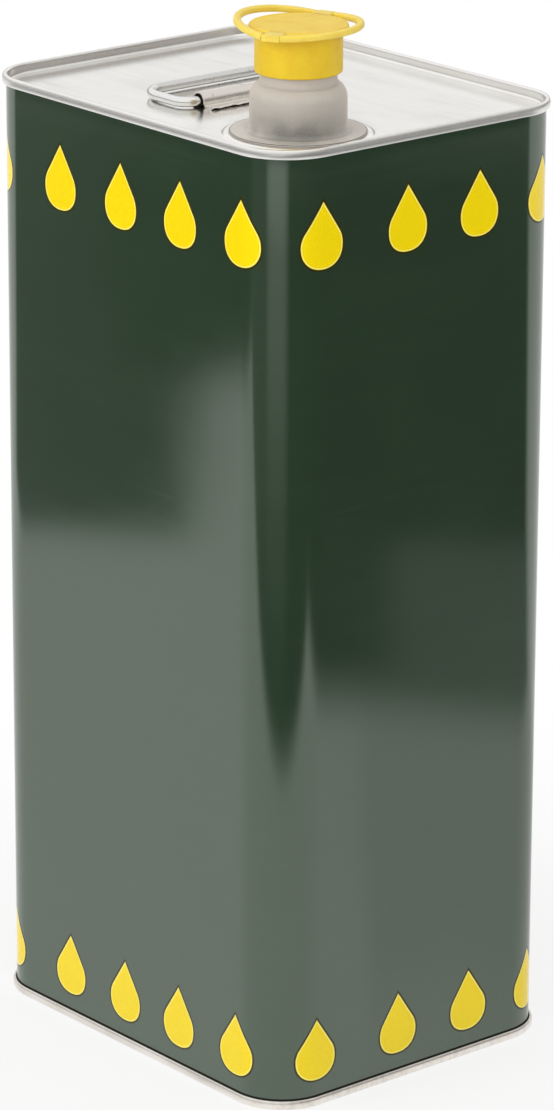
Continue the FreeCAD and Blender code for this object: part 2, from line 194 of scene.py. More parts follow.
def filleted(corners: Sequence[Pair], radii: Sequence[float], parts: int = 6) -> Array:
    """Closed polygon with its corners rounded.

    At a corner with inner angle a, the arc of radius r touches both sides at r / tan(a / 2) from the corner,
    and its points are the weighted sum of the two radius vectors with sines of the shares of its angle.

    Args:
        corners: The corners in order.
        radii: Radius at each corner, 0 for a sharp one.
        parts: Points on each arc less one.

    Returns:
        The points of the rounded outline.
    """
    here = np.array(corners, float)
    size = np.array(radii, float)[:, None]
    back, onward = np.roll(here, 1, axis=0) - here, np.roll(here, -1, axis=0) - here
    back /= np.linalg.norm(back, axis=1, keepdims=True)
    onward /= np.linalg.norm(onward, axis=1, keepdims=True)
    half = np.arccos(np.clip((back * onward).sum(axis=1, keepdims=True), -1, 1)) / 2
    middle = back + onward
    middle /= np.linalg.norm(middle, axis=1, keepdims=True)
    centre = here + middle * size / np.sin(half)
    first, last = here + back * size / np.tan(half) - centre, here + onward * size / np.tan(half) - centre
    swing = (math.pi - 2 * half)[:, :, None]
    share = np.linspace(0, 1, parts + 1)[None, :, None]
    leaving, arriving = np.sin((1 - share) * swing), np.sin(share * swing)
    arc = (leaving * first[:, None, :] + arriving * last[:, None, :]) / np.sin(swing)
    return (centre[:, None, :] + arc).reshape(-1, 2)


def revolved(profile: Array, axis: Pair, parts: int = 96) -> Array:
    """Grid of a profile of (radius, height) turned about an upright axis.

    Args:
        profile: Radius and height of each row.
        axis: X and Y of the axis.
        parts: Columns round the axis.

    Returns:
        Points of shape (rows, columns, 3): the axis plus the radius times cosine and sine, and the height.
    """
    turn = np.linspace(0, 2 * math.pi, parts, endpoint=False)[None, :]
    radius, height = profile[:, :1], profile[:, 1:]
    return np.stack([
        axis[0] + radius * np.cos(turn),
        axis[1] + radius * np.sin(turn),
        height + 0 * turn,
    ], axis=-1)


def paired(radius: Array | float, height: Array | float) -> Array:
    """Profile of radii and heights, either of which may be one number for all points."""
    return np.stack(np.broadcast_arrays(radius, height), axis=-1)


def lifted(flat: Array, heights: Array) -> Array:
    """Grid of points in the plane with their heights added."""
    return np.concatenate([flat, np.broadcast_to(heights, flat.shape[:2] + (1,))], axis=2)


def turned_about(points: Array, axis: str, angle: float, centre: Sequence[float] = (0.0, 0.0, 0.0)) -> Array:
    """Points turned by an angle in degrees about a line through a centre, along X, Y or Z."""
    spin = np.array(Matrix.Rotation(math.radians(angle), 3, axis))
    return (points - np.array(centre)) @ spin.T + np.array(centre)


def smooth_step(low: float, high: float, value: Array) -> Array:
    """Rise from 0 to 1 between two values, level at both ends."""
    share = np.clip((value - low) / (high - low), 0, 1)
    return share * share * (3 - 2 * share)


class MeshMaker:
    """Collects grids of points in millimetres and makes one closed mesh of them."""

    MAP = "print"
    WELD = 2e-7

    def __init__(self) -> None:
        """Starts with no grids."""
        self.points: list[Array] = []
        self.faces: list[Array] = []
        self.slots: list[Array] = []
        self.maps: list[Array] = []
        self.count = 0

    def grid(
        self,
        points: Array,
        closed_rows: bool = False,
        closed_columns: bool = False,
        slots: Array | None = None,
        uv: Array | None = None,
    ) -> "MeshMaker":
        """Adds a grid of four-sided faces.

        Args:
            points: Points of shape (rows, columns, 3).
            closed_rows: Whether the last row joins the first.
            closed_columns: Whether the last column joins the first.
            slots: Material number of the faces after each row.
            uv: Map of shape (rows + 1, columns + 1, 2).

        Returns:
            This maker.
        """
        rows, columns = points.shape[:2]
        row = np.arange(rows if closed_rows else rows - 1)[:, None]
        column = np.arange(columns if closed_columns else columns - 1)[None, :]
        near, far = np.broadcast_arrays(row, column)
        around = [(near, far), (near, far + 1), (near + 1, far + 1), (near + 1, far)]
        faces = np.stack([(a % rows) * columns + b % columns for a, b in around], axis=-1)
        self.points.append(points.reshape(-1, 3))
        self.faces.append(faces.reshape(-1, 4) + self.count)
        self.count += rows * columns
        number = np.zeros(rows, int) if slots is None else slots
        self.slots.append(np.broadcast_to(number[: row.shape[0], None], near.shape).reshape(-1))
        chart = np.zeros((rows + 1, columns + 1, 2)) if uv is None else uv
        self.maps.append(np.stack([chart[a, b] for a, b in around], axis=2).reshape(-1, 2))
        return self

    def capped(self, loops: Array, parts: int = 3) -> "MeshMaker":
        """Adds a tube of closed loops, with each end drawn in to its own middle.

        Args:
            loops: Points of shape (stations, points on a loop, 3).
            parts: Rows of each end.

        Returns:
            This maker.
        """
        share = np.linspace(1, 0, parts + 1)[1:, None, None]
        first, last = loops[:1], loops[-1:]
        front = first.mean(axis=1, keepdims=True) * (1 - share) + first * share
        back = last.mean(axis=1, keepdims=True) * (1 - share) + last * share
        return self.grid(np.concatenate([front[::-1], loops, back]), closed_columns=True)

    def make(self, name: str, sharp: float = 35.0) -> bpy.types.Object:
        """Welds the grids, turns the faces outwards and makes the object.

        Args:
            name: Name of the piece.
            sharp: Angle in degrees from which an edge stays crisp.

        Returns:
            The object, at the origin.
        """
        mesh = bpy.data.meshes.new(name)
        mesh.from_pydata((np.concatenate(self.points) * MM).tolist(), [], np.concatenate(self.faces).tolist())
        layer = mesh.uv_layers.new(name=self.MAP)
        layer.data.foreach_set("uv", np.concatenate(self.maps).astype(np.float32).ravel())
        mesh.polygons.foreach_set("material_index", np.concatenate(self.slots).astype(np.int32))
        work = bmesh.new()
        work.from_mesh(mesh)
        bmesh.ops.remove_doubles(work, verts=work.verts, dist=self.WELD)
        bmesh.ops.recalc_face_normals(work, faces=work.faces)
        work.to_mesh(mesh)
        work.free()
        mesh.shade_smooth()
        mesh.set_sharp_from_angle(angle=math.radians(sharp))
        piece = bpy.data.objects.new(name, mesh)
        bpy.context.scene.collection.objects.link(piece)
        return piece


@dataclass(frozen=True)
class Grain:
    """Noise pattern: scale, detail and roughness, and its stretch along each axis."""

    scale: float
    detail: float = 2.0
    rough: float = 0.5
    stretch: Place = (1.0, 1.0, 1.0)


class Term:
    """Output socket of a node that can stand in an expression."""

    def __init__(self, graph: "Graph", socket: bpy.types.NodeSocket) -> None:
        """Keeps the socket and the graph that it belongs to."""
        self.graph = graph
        self.socket = socket

    def __add__(self, other: "Number") -> "Term":
        """Sum."""
        return self.graph.math("ADD", self, other)

    def __radd__(self, other: "Number") -> "Term":
        """Sum with a number in front."""
        return self.graph.math("ADD", other, self)

    def __sub__(self, other: "Number") -> "Term":
        """Difference."""
        return self.graph.math("SUBTRACT", self, other)

    def __rsub__(self, other: "Number") -> "Term":
        """Difference from a number in front."""
        return self.graph.math("SUBTRACT", other, self)

    def __mul__(self, other: "Number") -> "Term":
        """Product."""
        return self.graph.math("MULTIPLY", self, other)

    def __rmul__(self, other: "Number") -> "Term":
        """Product with a number in front."""
        return self.graph.math("MULTIPLY", other, self)

    def __truediv__(self, other: "Number") -> "Term":
        """Quotient."""
        return self.graph.math("DIVIDE", self, other)

    def __rtruediv__(self, other: "Number") -> "Term":
        """Quotient of a number in front."""
        return self.graph.math("DIVIDE", other, self)

    def __pow__(self, other: "Number") -> "Term":
        """Power."""
        return self.graph.math("POWER", self, other)

    def __abs__(self) -> "Term":
        """Size without sign."""
        return self.graph.math("ABSOLUTE", self)

    def __gt__(self, other: "Number") -> "Term":
        """1 where this is the larger one, else 0."""
        return self.graph.math("GREATER_THAN", self, other)

    def __lt__(self, other: "Number") -> "Term":
        """1 where this is the smaller one, else 0."""
        return self.graph.math("LESS_THAN", self, other)

    def root(self) -> "Term":
        """Square root."""
        return self.graph.math("SQRT", self)

    def fraction(self) -> "Term":
        """Part after the point."""
        return self.graph.math("FRACT", self)

    def larger(self, other: "Number") -> "Term":
        """The larger of the two."""
        return self.graph.math("MAXIMUM", self, other)

    def smaller(self, other: "Number") -> "Term":
        """The smaller of the two."""
        return self.graph.math("MINIMUM", self, other)

    def rise(self, low: float, high: float) -> "Term":
        """Smooth rise from 0 at one value to 1 at another.

        Args:
            low: Value up to which it is 0.
            high: Value from which it is 1.

        Returns:
            The share.
        """
        settings = {"interpolation_type": "SMOOTHSTEP"}
        inputs = {"Value": self, "From Min": low, "From Max": high}
        return self.graph.term(self.graph.node("ShaderNodeMapRange", settings, inputs))

    def rise_mm(self, low: float, high: float) -> "Term":
        """Smooth rise between two lengths in millimetres."""
        return self.rise(low * MM, high * MM)

    def between(self, rising: Pair, falling: Pair) -> "Term":
        """1 after one rise and before another, else 0."""
        return self.rise(*rising) * (1 - self.rise(*falling))

    def along(self, other: "Term", way: Pair) -> "Term":
        """Length of this and another in a direction."""
        return self * way[0] + other * way[1]

    def hypotenuse(self, other: "Term") -> "Term":
        """Length of the long side over this one and another."""
        return (self * self + other * other).root()


Number = Term | float


class Graph:
    """Node tree that expressions and finishes are written into."""

    def __init__(self, tree: bpy.types.NodeTree) -> None:
        """Takes a tree and empties it."""
        self.tree = tree
        tree.nodes.clear()

    def node(
        self,
        kind: str,
        settings: Mapping[str, object] | None = None,
        inputs: Mapping[str | int, object] | None = None,
    ) -> bpy.types.Node:
        """Makes one node.

        Args:
            kind: Type name of the node.
            settings: Its settings, set first; stops are the positions and colours of a ramp.
            inputs: Value or link of each socket, by name or number.

        Returns:
            The node.
        """
        made = self.tree.nodes.new(kind)
        for key, value in (settings or {}).items():
            if key == "stops":
                self._set_stops(made.color_ramp, value)
            else:
                setattr(made, key, value)
        for key, value in (inputs or {}).items():
            if isinstance(value, Term):
                self.tree.links.new(value.socket, made.inputs[key])
            else:
                made.inputs[key].default_value = value
        return made

    @staticmethod
    def _set_stops(ramp: bpy.types.ColorRamp, stops: Sequence[tuple[float, Colour]]) -> None:
        """Gives a ramp its stops.

        Args:
            ramp: The ramp.
            stops: Position and colour of each stop.
        """
        for _ in range(len(stops) - len(ramp.elements)):
            ramp.elements.new(1.0)
        for element, (position, colour) in zip(ramp.elements, stops):
            element.position = position
            element.color = colour

    def term(self, node: bpy.types.Node, output: str | int = 0) -> Term:
        """Output of a node for use in an expression."""
        return Term(self, node.outputs[output])

    def math(self, operation: str, *values: Number) -> Term:
        """Result of one Math node."""
        return self.term(self.node("ShaderNodeMath", {"operation": operation}, dict(enumerate(values))))

    def place(self) -> Term:
        """Place on the piece, in the frame's own axes."""
        return self.term(self.node("ShaderNodeTexCoord"), "Object")

    def rays(self) -> tuple[Term, Term]:
        """Tells the kinds of ray apart.

        Returns:
            1 for a ray straight from the camera or through a clear piece, and 1 for a mirrored ray.
        """
        path = self.node("ShaderNodeLightPath")
        straight = self.term(path, "Is Camera Ray") + self.term(path, "Is Transmission Ray")
        return straight.smaller(1.0), self.term(path, "Is Glossy Ray")

    def parts(self, vector: Term) -> tuple[Term, Term, Term]:
        """The three numbers of a vector."""
        split = self.node("ShaderNodeSeparateXYZ", inputs={0: vector})
        return self.term(split, 0), self.term(split, 1), self.term(split, 2)

    def stretched(self, vector: Term, scale: Place) -> Term:
        """Vector multiplied by a scale along each axis."""
        return self.term(self.node("ShaderNodeMapping", inputs={"Vector": vector, "Scale": scale}))

    def noise(self, vector: Term, grain: Grain) -> Term:
        """Noise between 0 and 1.

        Args:
            vector: Place to read it at.
            grain: The pattern.

        Returns:
            The noise.
        """
        spread = vector if grain.stretch == Grain.stretch else self.stretched(vector, grain.stretch)
        inputs = {"Vector": spread, "Scale": grain.scale, "Detail": grain.detail, "Roughness": grain.rough}
        return self.term(self.node("ShaderNodeTexNoise", None, inputs))

    def mix(self, share: Number, first: Term | Colour, second: Term | Colour) -> Term:
        """Colour between two colours."""
        made = self.node("ShaderNodeMix", {"data_type": "RGBA"}, {0: share, 6: first, 7: second})
        return self.term(made, 2)

    def ramp(self, value: Term, stops: Sequence[tuple[float, Colour]]) -> Term:
        """Colour from a ramp of stops."""
        return self.term(self.node("ShaderNodeValToRGB", {"stops": stops}, {0: value}))

    def bump(self, height: Term) -> Term:
        """Normal of a surface that is raised by a height in metres."""
        return self.term(self.node("ShaderNodeBump", None, {"Strength": 1.0, "Distance": 1.0, "Height": height}))

    def surface(self, inputs: Mapping[str | int, object]) -> Term:
        """Main surface shader."""
        return self.term(self.node("ShaderNodeBsdfPrincipled", None, inputs))

    def blend(self, share: Term, first: Term, second: Term) -> Term:
        """Shader between two shaders."""
        return self.term(self.node("ShaderNodeMixShader", None, {0: share, 1: first, 2: second}))


@dataclass(frozen=True)
class Finish:
    """Material that is made once and shared by the pieces that have it."""

    name: str

    def material(self) -> bpy.types.Material:
        """Makes the material the first time, and gives it again after that.

        Returns:
            The material.
        """
        found = bpy.data.materials.get(self.name)
        if found is not None:
            return found
        made = bpy.data.materials.new(self.name)
        made.use_nodes = True
        graph = Graph(made.node_tree)
        graph.node("ShaderNodeOutputMaterial", None, {"Surface": self.shader(graph)})
        return made

    def shader(self, graph: Graph) -> Term:
        """Writes the finish into a graph and gives its surface."""
        raise NotImplementedError


@dataclass(frozen=True)
class PrintedLacquer(Finish):
    """Dark green stoving lacquer over tinplate, with two rows of yellow drops and a bare strip at the weld."""

    name: str = "printed_lacquer"
    mottle: Grain = Grain(26.0, 4.0, 0.6)
    lines: Grain = Grain(1.0, 3.0, 0.6, (9.0, 9.0, 900.0))
    fine: Grain = Grain(1300.0, 2.0)
    waves: Grain = Grain(13.0, 1.0, 0.4, (1.0, 1.0, 0.55))
    peel: Grain = Grain(520.0, 2.0, 0.5)
    green: Colour = srgb(34, 53, 35)
    green_worn: Colour = srgb(39, 59, 40)
    yellow: Colour = srgb(250, 221, 3)
    yellow_thin: Colour = srgb(245, 214, 4)
    yellow_edge: Colour = srgb(255, 242, 120)
    outline: Colour = srgb(52, 43, 0)
    # Painted shade: a near-black line on the wall just above the bottom seam, where the seam's shadow falls.
    foot_shade: Colour = srgb(22, 24, 18)
    foot_shade_low: float = 3.3
    foot_shade_high: float = 3.55
    bare: Colour = srgb(205, 204, 198)
    bare_dull: Colour = srgb(180, 177, 170)
    gloss: Colour = (0.9, 1.0, 0.88, 1.0)
    pitch: float = DROP_PITCH
    drop_radius: float = 7.7
    drop_tip: float = 13.75
    top_row: float = 281.3
    bottom_row: float = 15.6
    bottom_size: float = 0.975
    squat: float = 0.935
    fullness: float = 2.25
    edge: float = 0.10
    edge_width: float = 0.4
    edge_share: float = 0.75
    outline_width: float = 0.55
    edge_rough: float = 0.1
    strip_width: float = 7.0
    strip_blur: float = 0.2
    strip_rough: float = 0.6
    strip_side: float = -60.0
    wave_height: float = 0.5
    peel_height: float = 0.0022
    line_height: float = 0.0006
    ink_height: float = 0.004
    index: float = 1.95
    ink_index: float = 1.42

    def drop_distance(self, graph: Graph) -> Term:
        """Distance from the edge of the nearest drop, negative inside it.

        A drop is a circle with a point above it. Above the line where its straight sides touch the circle the
        distance is that of the side. Its lower half is flattened, with a power a little over 2 in place of the
        squares, which makes it fuller. The lower row is a little smaller.

        Args:
            graph: Graph to write into.

        Returns:
            The distance in metres.
        """
        chart = graph.term(graph.node("ShaderNodeUVMap", {"uv_map": MeshMaker.MAP}))
        phase, height, _ = graph.parts(chart)
        aside = abs((phase.fraction() - 0.5) * (self.pitch * MM))
        upper_half = height > (self.top_row + self.bottom_row) / 2 * MM
        lift = height - (self.bottom_row * MM + upper_half * ((self.top_row - self.bottom_row) * MM))
        size = self.bottom_size + upper_half * (1 - self.bottom_size)
        aside, lift = aside / size, lift / size
        radius = self.drop_radius * MM
        lean = math.asin(self.drop_radius / self.drop_tip)
        ball = aside.hypotenuse(lift) - radius
        across, down = aside / radius, abs(lift) / (radius * self.squat)
        full = ((across ** self.fullness + down ** self.fullness) ** (1 / self.fullness) - 1) * radius
        ball = ball + (full - ball) * (lift < 0.0)
        side = aside * math.cos(lean) + (lift - self.drop_tip * MM) * math.sin(lean)
        above = lift > radius * math.sin(lean)
        return ball + (side - ball) * above

    def shader(self, graph: Graph) -> Term:
        """Green with rolling lines and mottle, drops, a painted shade line at the foot above the seam, weld strip,
        orange peel and slow waves.

        Args:
            graph: Graph to write into.

        Returns:
            The surface.
        """
        place = graph.place()
        x, y, z = graph.parts(place)
        mottle = graph.noise(place, self.mottle)
        lines = graph.noise(place, self.lines)
        fine = graph.noise(place, self.fine)
        green = graph.mix((mottle * 0.5 + lines * 0.5).rise(0.3, 0.72), self.green, self.green_worn)
        yellow = graph.mix((fine * 0.6 + mottle * 0.4).rise(0.35, 0.7), self.yellow, self.yellow_thin)
        distance = self.drop_distance(graph) + (fine - 0.5) * (self.edge_rough * MM)
        ink = 1 - distance.rise_mm(-self.edge, self.edge)
        thin = distance.rise_mm(-self.edge_width - 2 * self.edge, -self.edge_width)
        yellow = graph.mix(thin * self.edge_share, yellow, self.yellow_edge)
        ring = 1 - distance.rise_mm(self.outline_width, self.outline_width + 2 * self.edge)
        # Painted shade line at the foot, just above the seam, made rougher there so that it stays dark.
        foot_shade = 1 - z.rise_mm(self.foot_shade_low, self.foot_shade_high)
        printed = graph.mix(foot_shade, graph.mix(ink, self.outline, yellow), self.foot_shade)
        from_weld = abs(y) + (fine - 0.5) * (self.strip_rough * MM)
        strip_edge = self.strip_width / 2
        past = from_weld.rise_mm(strip_edge - self.strip_blur, strip_edge + self.strip_blur)
        strip = (1 - past) * (x < self.strip_side * MM)
        waves = graph.noise(place, self.waves)
        peel = graph.noise(place, self.peel)
        height = waves * (self.wave_height * MM) + peel * (self.peel_height * MM)
        normal = graph.bump(height + lines * (self.line_height * MM) + ink * (self.ink_height * MM))
        coated = graph.surface({
            "Base Color": green,
            "Roughness": 0.06 + mottle * 0.05 + lines * 0.02,
            "IOR": self.index,
            "Specular Tint": self.gloss,
            "Normal": normal,
        })
        inked = graph.surface({
            "Base Color": printed,
            "Roughness": 0.08 + mottle * 0.05 + lines * 0.02 + foot_shade * 0.6,
            "IOR": self.ink_index,
            "Normal": normal,
        })
        bare = graph.surface({
            "Base Color": graph.mix(mottle.rise(0.3, 0.7), self.bare, self.bare_dull),
            "Metallic": 1.0,
            "Roughness": 0.2 + lines * 0.08,
            "Normal": normal,
        })
        return graph.blend(strip, graph.blend(ring.larger(foot_shade), coated, inked), bare)


@dataclass(frozen=True)
class BrightTinplate(Finish):
    """Uncoated tinplate with rolling lines, faint smears and a soft mirror, duller where the seam was rolled."""

    name: str = "bright_tinplate_sheet"
    lines: Grain = Grain(1.0, 4.0, 0.65, (14.0, 520.0, 520.0))
    smear: Grain = Grain(34.0, 5.0, 0.6, (1.0, 2.4, 1.0))
    grain: Grain = Grain(2400.0, 2.0)
    waves: Grain = Grain(21.0, 1.0, 0.4)
    colour: Colour = srgb(244, 243, 240)
    dull: Colour = srgb(237, 235, 231)
    roughness: float = 0.17
    seam_roughness: float = 0.2
    seam_edge: Pair = (0.5, 0.95)
    half_flats: Pair = (TIN_WIDTH / 2 - TIN_CORNER, TIN_DEPTH / 2 - TIN_CORNER)
    corner: float = TIN_CORNER
    wave_height: float = 0.16
    line_height: float = 0.0012
    grain_height: float = 0.0008

    def shader(self, graph: Graph) -> Term:
        """Metal whose colour and roughness follow the rolling lines and smears.

        Args:
            graph: Graph to write into.

        Returns:
            The surface.
        """
        place = graph.place()
        x, y, _ = graph.parts(place)
        past_x = (abs(x) - self.half_flats[0] * MM).larger(0.0)
        past_y = (abs(y) - self.half_flats[1] * MM).larger(0.0)
        outwards = past_x.hypotenuse(past_y) - self.corner * MM
        roughness = self.roughness + outwards.rise_mm(*self.seam_edge) * self.seam_roughness
        lines = graph.noise(place, self.lines)
        smear = graph.noise(place, self.smear)
        grain = graph.noise(place, self.grain)
        waves = graph.noise(place, self.waves)
        return graph.surface({
            "Base Color": graph.mix((lines * 0.5 + smear * 0.5).rise(0.35, 0.75), self.colour, self.dull),
            "Metallic": 1.0,
            "Roughness": roughness + lines * 0.04 + smear.rise(0.5, 0.75) * 0.07,
            "Normal": graph.bump(
                waves * (self.wave_height * MM) + lines * (self.line_height * MM) + grain * (self.grain_height * MM)
            ),
        })


@dataclass(frozen=True)
class PlatedSteel(Finish):
    """Bright plated steel of the handle and its strap, drawn or rolled along Y."""

    name: str = "plated_steel"
    lines: Grain = Grain(1.0, 3.0, 0.6, (900.0, 24.0, 900.0))
    specks: Grain = Grain(420.0, 4.0, 0.65)
    dents: Grain = Grain(95.0, 2.0)
    colour: Colour = srgb(234, 234, 232)
    dark: Colour = srgb(158, 157, 153)
    roughness: float = 0.16
    line_height: float = 0.0015
    dent_height: float = 0.02

    def shader(self, graph: Graph) -> Term:
        """Metal with drawing lines along Y, dull specks and shallow dents.

        Args:
            graph: Graph to write into.

        Returns:
            The surface.
        """
        place = graph.place()
        lines = graph.noise(place, self.lines)
        specks = graph.noise(place, self.specks)
        dents = graph.noise(place, self.dents)
        return graph.surface({
            "Base Color": graph.mix(specks.rise(0.58, 0.85), self.colour, self.dark),
            "Metallic": 1.0,
            "Roughness": self.roughness + lines * 0.1 + specks.rise(0.5, 0.8) * 0.14,
            "Normal": graph.bump(lines * (self.line_height * MM) + dents * (self.dent_height * MM)),
        })


@dataclass(frozen=True)
class NaturalPlastic(Finish):
    """Uncoloured soft plastic of the spout, cloudy, greyer towards the hole that it stands in, which is painted
    shade of the dark tin inside seen through the plastic.
    """

    name: str = "natural_plastic"
    clouds: Grain = Grain(160.0, 4.0, 0.6)
    grain: Grain = Grain(1700.0, 3.0, 0.6)
    rings: Grain = Grain(1.0, 2.0, 0.5, (25.0, 25.0, 900.0))
    drift: Grain = Grain(75.0, 2.0, 0.5)
    foot: float = COLLAR_TOP
    top: float = 341.0
    axis: Pair = SPOUT_AXIS
    bloom: Colour = srgb(222, 214, 206)
    # Dark line at the joint of ring and collar: dirt and painted shade of the gap.
    joint_dirt_and_shade: Colour = srgb(58, 55, 50)
    joint_radius: float = 20.6
    joint_blur: float = 0.3
    joint_heights: Pair = (0.34, 0.46)
    # Painted shade: a cloudy grey patch low on the skirt and ring, strongest on the side facing the tin's front
    # corner.
    front_shade: Colour = srgb(124, 122, 116)
    front_shade_share: float = 0.9
    front_shade_rest: float = 0.25
    front_shade_radius: float = 18.4
    front_shade_clear: float = 21.6
    front_shade_side: Pair = (0.575, -0.818)
    sheen: Colour = srgb(255, 247, 236)
    grain_height: float = 0.009
    ring_height: float = 0.01
    # Colour by height: the greyer rows low on the skirt are painted shade of the dark tin inside, seen through the
    # plastic.
    stops: tuple[tuple[float, Colour], ...] = (
        (0.00, srgb(190, 185, 177)),
        (0.06, srgb(186, 181, 173)),
        (0.12, srgb(182, 177, 169)),
        (0.20, srgb(185, 179, 170)),
        (0.30, srgb(190, 183, 174)),
        (0.42, srgb(196, 188, 178)),
        (0.55, srgb(200, 190, 179)),
        (1.00, srgb(204, 195, 186)),
    )

    def shader(self, graph: Graph) -> Term:
        """Colour by height with clouds, painted shade at the foot, a dark joint line of dirt and painted shade,
        scattering and a mould texture.

        Args:
            graph: Graph to write into.

        Returns:
            The surface.
        """
        place = graph.place()
        x, y, z = graph.parts(place)
        out = x - self.axis[0] * MM, y - self.axis[1] * MM
        radius = out[0].hypotenuse(out[1])
        clouds = graph.noise(place, self.clouds)
        grain = graph.noise(place, self.grain)
        rings = graph.noise(place, self.rings)
        share = (z - self.foot * MM) / ((self.top - self.foot) * MM)
        colour = graph.ramp(share + (clouds - 0.5) * 0.16, self.stops)
        drift = graph.noise(place, self.drift)
        # Painted shade of the hole seen through the plastic, cloudy, low down, inside the ring's edge and mostly on
        # the front side.
        front_shaded = drift.rise(0.3, 0.66) * (1 - share.rise(0.05, 0.33))
        front_shaded = front_shaded * (1 - radius.rise_mm(self.front_shade_radius, self.front_shade_clear))
        facing = out[0].along(out[1], self.front_shade_side) / radius
        front_shaded = front_shaded * (self.front_shade_rest + (1 - self.front_shade_rest) * facing.rise(0.3, 0.95))
        colour = graph.mix(front_shaded * self.front_shade_share, colour, self.front_shade)
        # Dirt and painted shade along the ring's outer top edge and the upper part of its side.
        joint = radius.rise_mm(self.joint_radius, self.joint_radius + self.joint_blur)
        joint = joint * z.rise_mm(*(self.foot + height for height in self.joint_heights))
        colour = graph.mix(joint, colour, self.joint_dirt_and_shade)
        return graph.surface({
            "Base Color": graph.mix(grain.rise(0.4, 0.8) * 0.16, colour, self.bloom),
            "Roughness": 0.2 + share.rise(0.03, 0.14) * 0.16 + grain * 0.16 + clouds * 0.08,
            "IOR": 1.5,
            "Subsurface Weight": 0.35,
            "Subsurface Radius": (1.0, 0.9, 0.8),
            "Subsurface Scale": 0.004,
            "Sheen Weight": 0.6,
            "Sheen Roughness": 0.45,
            "Sheen Tint": self.sheen,
            "Normal": graph.bump(grain * (self.grain_height * MM) + rings * (self.ring_height * MM)),
        })


@dataclass(frozen=True)
class YellowPlastic(Finish):
    """Yellow moulded plastic of the cap and its half rings, paler where it is thin, with a painted highlight on its
    top.
    """

    name: str = "yellow_plastic"
    clouds: Grain = Grain(120.0, 4.0, 0.6)
    grain: Grain = Grain(1900.0, 3.0, 0.6)
    colour: Colour = srgb(243, 205, 40)
    deep: Colour = srgb(234, 190, 14)
    pale: Colour = srgb(242, 216, 98)
    pale_deep: Colour = srgb(235, 205, 74)
    axis: Pair = SPOUT_AXIS
    thick_radius: float = 14.6
    thin_radius: float = 15.8
    top: float = 343.24
    # Painted highlight: the cap's top is made paler, as if lit more strongly.
    top_highlight: float = 0.6
    top_highlight_low: float = 0.7
    top_highlight_high: float = 0.1
    grain_height: float = 0.018

    def shader(self, graph: Graph) -> Term:
        """Yellow with faint flow clouds, paler outside the cap's disc, a painted highlight on its top, mould
        texture, scattering.

        Args:
            graph: Graph to write into.

        Returns:
            The surface.
        """
        place = graph.place()
        x, y, z = graph.parts(place)
        out = x - self.axis[0] * MM, y - self.axis[1] * MM
        radius = out[0].hypotenuse(out[1])
        thin = radius.rise_mm(self.thick_radius, self.thin_radius)
        # Painted highlight on the top face of the cap and half rings.
        lit_top = z.rise_mm(self.top - self.top_highlight_low, self.top - self.top_highlight_high)
        thin = thin.larger(lit_top * self.top_highlight)
        clouds = graph.noise(place, self.clouds)
        grain = graph.noise(place, self.grain)
        flow = (clouds * 0.7 + grain * 0.3).rise(0.35, 0.7)
        return graph.surface({
            "Base Color": graph.mix(thin, graph.mix(flow, self.colour, self.deep),
                                    graph.mix(flow, self.pale, self.pale_deep)),
            "Roughness": 0.36 + grain * 0.16,
            "IOR": 1.49,
            "Subsurface Weight": 0.25,
            "Subsurface Radius": (1.0, 0.65, 0.2),
            "Subsurface Scale": 0.0025,
            "Normal": graph.bump(grain * (self.grain_height * MM)),
        })


@dataclass(frozen=True)
class LinerFoam(Finish):
    """White foamed sealing disc."""

    name: str = "liner_foam_disc"
    colour: Colour = srgb(238, 236, 230)
    cell: Colour = srgb(205, 202, 194)
    cell_height: float = 0.04

    def shader(self, graph: Graph) -> Term:
        """Small closed cells in colour and height.

        Args:
            graph: Graph to write into.

        Returns:
            The surface.
        """
        place = graph.place()
        cells = graph.term(graph.node("ShaderNodeTexVoronoi", None, {"Vector": place, "Scale": 2600.0}))
        return graph.surface({
            "Base Color": graph.mix(cells.rise(0.1, 0.6), self.cell, self.colour),
            "Roughness": 0.55 + cells * 0.2,
            "Normal": graph.bump(cells * (self.cell_height * MM)),
        })


@dataclass(frozen=True)
class SeamRubber(Finish):
    """Sealing compound inside the seams."""

    name: str = "seam_rubber"
    skin: Grain = Grain(600.0, 4.0, 0.6)
    colour: Colour = srgb(58, 60, 62)
    pale: Colour = srgb(96, 98, 98)
    skin_height: float = 0.03

    def shader(self, graph: Graph) -> Term:
        """Dark rubber with a cured skin.

        Args:
            graph: Graph to write into.

        Returns:
            The surface.
        """
        place = graph.place()
        skin = graph.noise(place, self.skin)
        return graph.surface({
            "Base Color": graph.mix(skin.rise(0.4, 0.75), self.colour, self.pale),
            "Roughness": 0.5 + skin * 0.3,
            "Normal": graph.bump(skin * (self.skin_height * MM)),
        })


@dataclass(frozen=True)
class FinishSet:
    """All finishes of the tin."""

    lacquer: Finish = PrintedLacquer()
    tinplate: Finish = BrightTinplate()
    foot: Finish = BrightTinplate(
        name="bottom_tinplate_sheet", colour=srgb(236, 231, 224), dull=srgb(200, 193, 184),
        roughness=0.26, seam_roughness=0.0,
    )
    steel: Finish = PlatedSteel()
    strap: Finish = PlatedSteel(
        name="strap_sheet", colour=srgb(242, 237, 230), dark=srgb(134, 126, 118), roughness=0.2, dent_height=0.08,
    )
    spout: Finish = NaturalPlastic()
    cap: Finish = YellowPlastic()
    liner: Finish = LinerFoam()
    compound: Finish = SeamRubber()


def dress(
    piece: bpy.types.Object,
    finishes: Sequence[Finish],
    nodes: Sequence[str],
) -> bpy.types.Object:
    """Gives a piece its materials and hides the solids that it stands for.

    Args:
        piece: The finished object.
        finishes: Its finishes, in the order of its material numbers.
        nodes: Solids of the frame that it replaces.

    Returns:
        The piece.
    """
    for finish in finishes:
        piece.data.materials.append(finish.material())
    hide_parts(*nodes)
    LOG.info("%s: %d faces for %s", piece.name, len(piece.data.polygons), ", ".join(nodes))
    return piece


